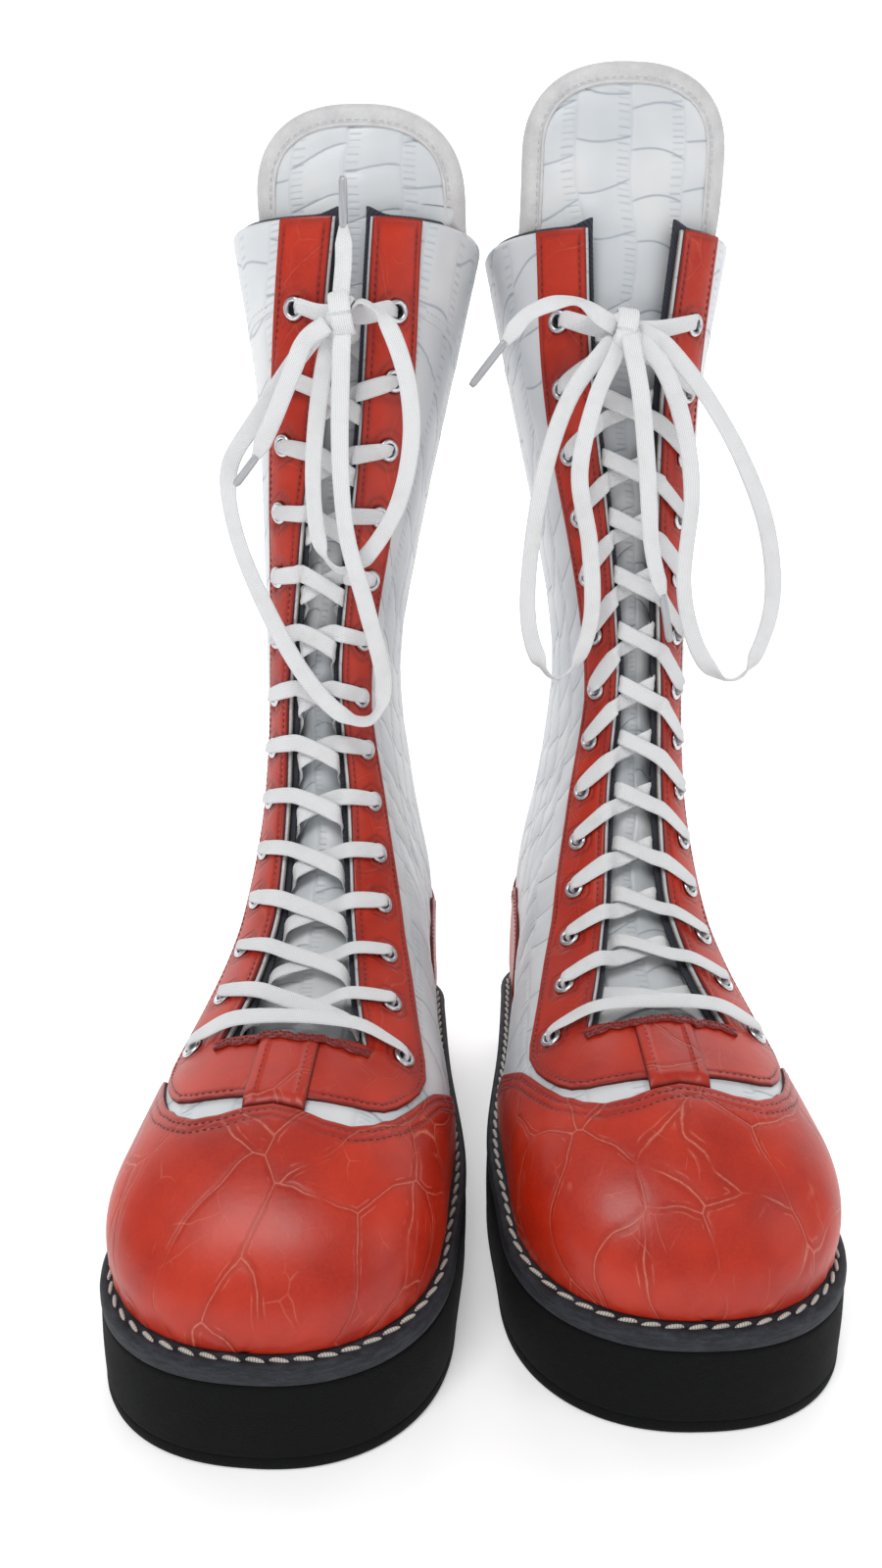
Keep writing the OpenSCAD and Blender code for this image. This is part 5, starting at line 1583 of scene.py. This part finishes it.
def bow_end(points, tip_at, letter, boot):
    """A free end of the lace, with its plastic tip."""
    path, wide = loose(points)
    n = len(path)
    band, tip = Mesh(), Mesh()
    ribbon(band, path, wide, LACE_W * np.interp(np.arange(n), [0, n - 5, n - 1], [1, 1, 0.5]), LACE_T)
    end = band.make("bow_end_" + letter, boot, ["lace"], ["bow"], "lace_cloth")
    swell = np.array([0.75, 0.95] + [1.0] * 10 + [0.95, 0.7])
    line = path[-1] + (np.array(tip_at, float) - path[-1]) * np.linspace(-0.06, 1, len(swell))[:, None]
    ribbon(tip, line, np.tile(wide[-1], (len(swell), 1)), 3.2 * swell, 2.6 * swell)
    cap = tip.make("aglet_" + letter, boot, ["tip"], ["aglets"], "aglet_plastic")
    declare(end, path, boot, "fitting", with_pieces=[cap])


def bow(boot):
    knot = np.array(KNOT[boot], float)
    m = Mesh()
    knot_rings(m, knot)
    for side in (-1, 1):
        tie(m, knot, side, boot)
    m.make("knot", boot, ["lace"], ["bow"], "lace_cloth")
    for letter, points in zip("ab", LOOPS[boot]):
        bow_loop(points, knot, "bow_loop_" + letter, boot)
    for letter, points, tip_at in zip("ab", ENDS[boot], AGLET_TO[boot]):
        bow_end(points, tip_at, letter, boot)


# ---------------------------------------------------------------- camera, light and floor
CAMERA_AT, CAMERA_LENS = (-0.0138, -0.4407, 0.2857), 25.9
CAMERA_PITCH, CAMERA_ROLL = math.radians(13.87), math.radians(0.23)
WORLD_LIGHT, KEY_LIGHT, FILL_LIGHT, BACK_LIGHT = 0.36, 23, 4.5, 6


def camera():
    cam = bpy.data.objects.new("Camera", bpy.data.cameras.new("Camera"))
    bpy.context.scene.collection.objects.link(cam)
    bpy.context.scene.camera = cam
    cam.data.sensor_width, cam.data.lens = 36.0, CAMERA_LENS
    cam.data.clip_start, cam.data.clip_end = 0.02, 20
    right, up = Vector((1, 0, 0)), Vector((0, math.sin(CAMERA_PITCH), math.cos(CAMERA_PITCH)))
    back = -Vector((0, math.cos(CAMERA_PITCH), -math.sin(CAMERA_PITCH)))
    c, s = math.cos(CAMERA_ROLL), math.sin(CAMERA_ROLL)
    axes = (right * c + up * s, up * c - right * s, back)
    turn = Matrix([[a[i] for a in axes] for i in range(3)]).to_4x4()
    cam.matrix_world = Matrix.Translation(CAMERA_AT) @ turn


def softbox(name, at, to, size, power):
    light = bpy.data.lights.new(name, "AREA")
    light.shape, light.size, light.size_y = "RECTANGLE", size[0], size[1]
    light.energy = power
    ob = bpy.data.objects.new(name, light)
    ob.location = at
    ob.rotation_mode = "QUATERNION"
    ob.rotation_quaternion = (Vector(to) - Vector(at)).to_track_quat("-Z", "Y")
    bpy.context.scene.collection.objects.link(ob)


def lights():
    world = bpy.data.worlds.new("studio")
    bpy.context.scene.world = world
    world.use_nodes = True
    world.node_tree.nodes["Background"].inputs["Color"].default_value = (1, 1, 1, 1)
    world.node_tree.nodes["Background"].inputs["Strength"].default_value = WORLD_LIGHT
    softbox("key", (-0.55, -1.3, 1.8), (0, 0, 0.2), (1.0, 0.8), KEY_LIGHT)
    softbox("fill", (1.5, -0.9, 0.9), (0, 0, 0.2), (0.8, 1.2), FILL_LIGHT)
    softbox("back", (0.2, 1.1, 1.7), (0, 0, 0.3), (1.4, 0.8), BACK_LIGHT)
    bpy.context.scene.view_settings.view_transform = "Standard"


def paper_sweep():
    """A sheet of white paper on the floor, swept up behind the boots."""
    bend = [(1.5 + 1.2 * math.sin(a), 1.2 - 1.2 * math.cos(a)) for a in np.linspace(0, math.pi / 2, 17)]
    profile = [(-6.0, 0.0)] + bend + [(2.7, 8.0)]
    points = [(x, y, z) for y, z in profile for x in (-9.0, 9.0)]
    me = bpy.data.meshes.new("paper")
    me.from_pydata(points, [], [(2 * i, 2 * i + 1, 2 * i + 3, 2 * i + 2) for i in range(len(profile) - 1)])
    me.polygons.foreach_set("use_smooth", [True] * len(me.polygons))
    paper = bpy.data.objects.new("paper", me)
    bpy.context.scene.collection.objects.link(paper)
    for name, glow in (("paper_floor", 0.3), ("paper_wall", 0.85)):
        m = Tree(name, Emission_Color=(1, 1, 1, 1), Emission_Strength=glow)
        m.colour(m.blend(ramp(m.noise(m.rest(), 60.0, 2.0), 0.3, 0.7), (244, 244, 245), (248, 248, 248)))
        m.rough(0.9)
        me.materials.append(m.mat)
    for face in me.polygons:
        face.material_index = int(face.index > 2)


HIDDEN = {"bottom_filler": "cork", "shank": "nickel", "insole_board": "cork", "sock_liner": "lining",
          "toe_puff": "cream_edge", "heel_stiffener": "cream_edge"}


def hidden_nodes():
    """Inner parts keep their CAD shape and get a real finish."""
    for tag in BOOTS:
        for kind, mat in HIDDEN.items():
            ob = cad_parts[f"{tag}_{kind}"]
            if not ob.material_slots:
                ob.data.materials.append(MATS[mat])
            for slot in ob.material_slots:
                slot.material = MATS[mat]


camera()
lights()
paper_sweep()
for boot in range(len(BOOTS)):
    worked_on["boot"] = boot
    bow(boot)
    laces(boot)
    soles(boot)
    leather(boot)
    tongue_leather(boot)
    tongue_binding(boot)
    eyelets(boot)
hidden_nodes()
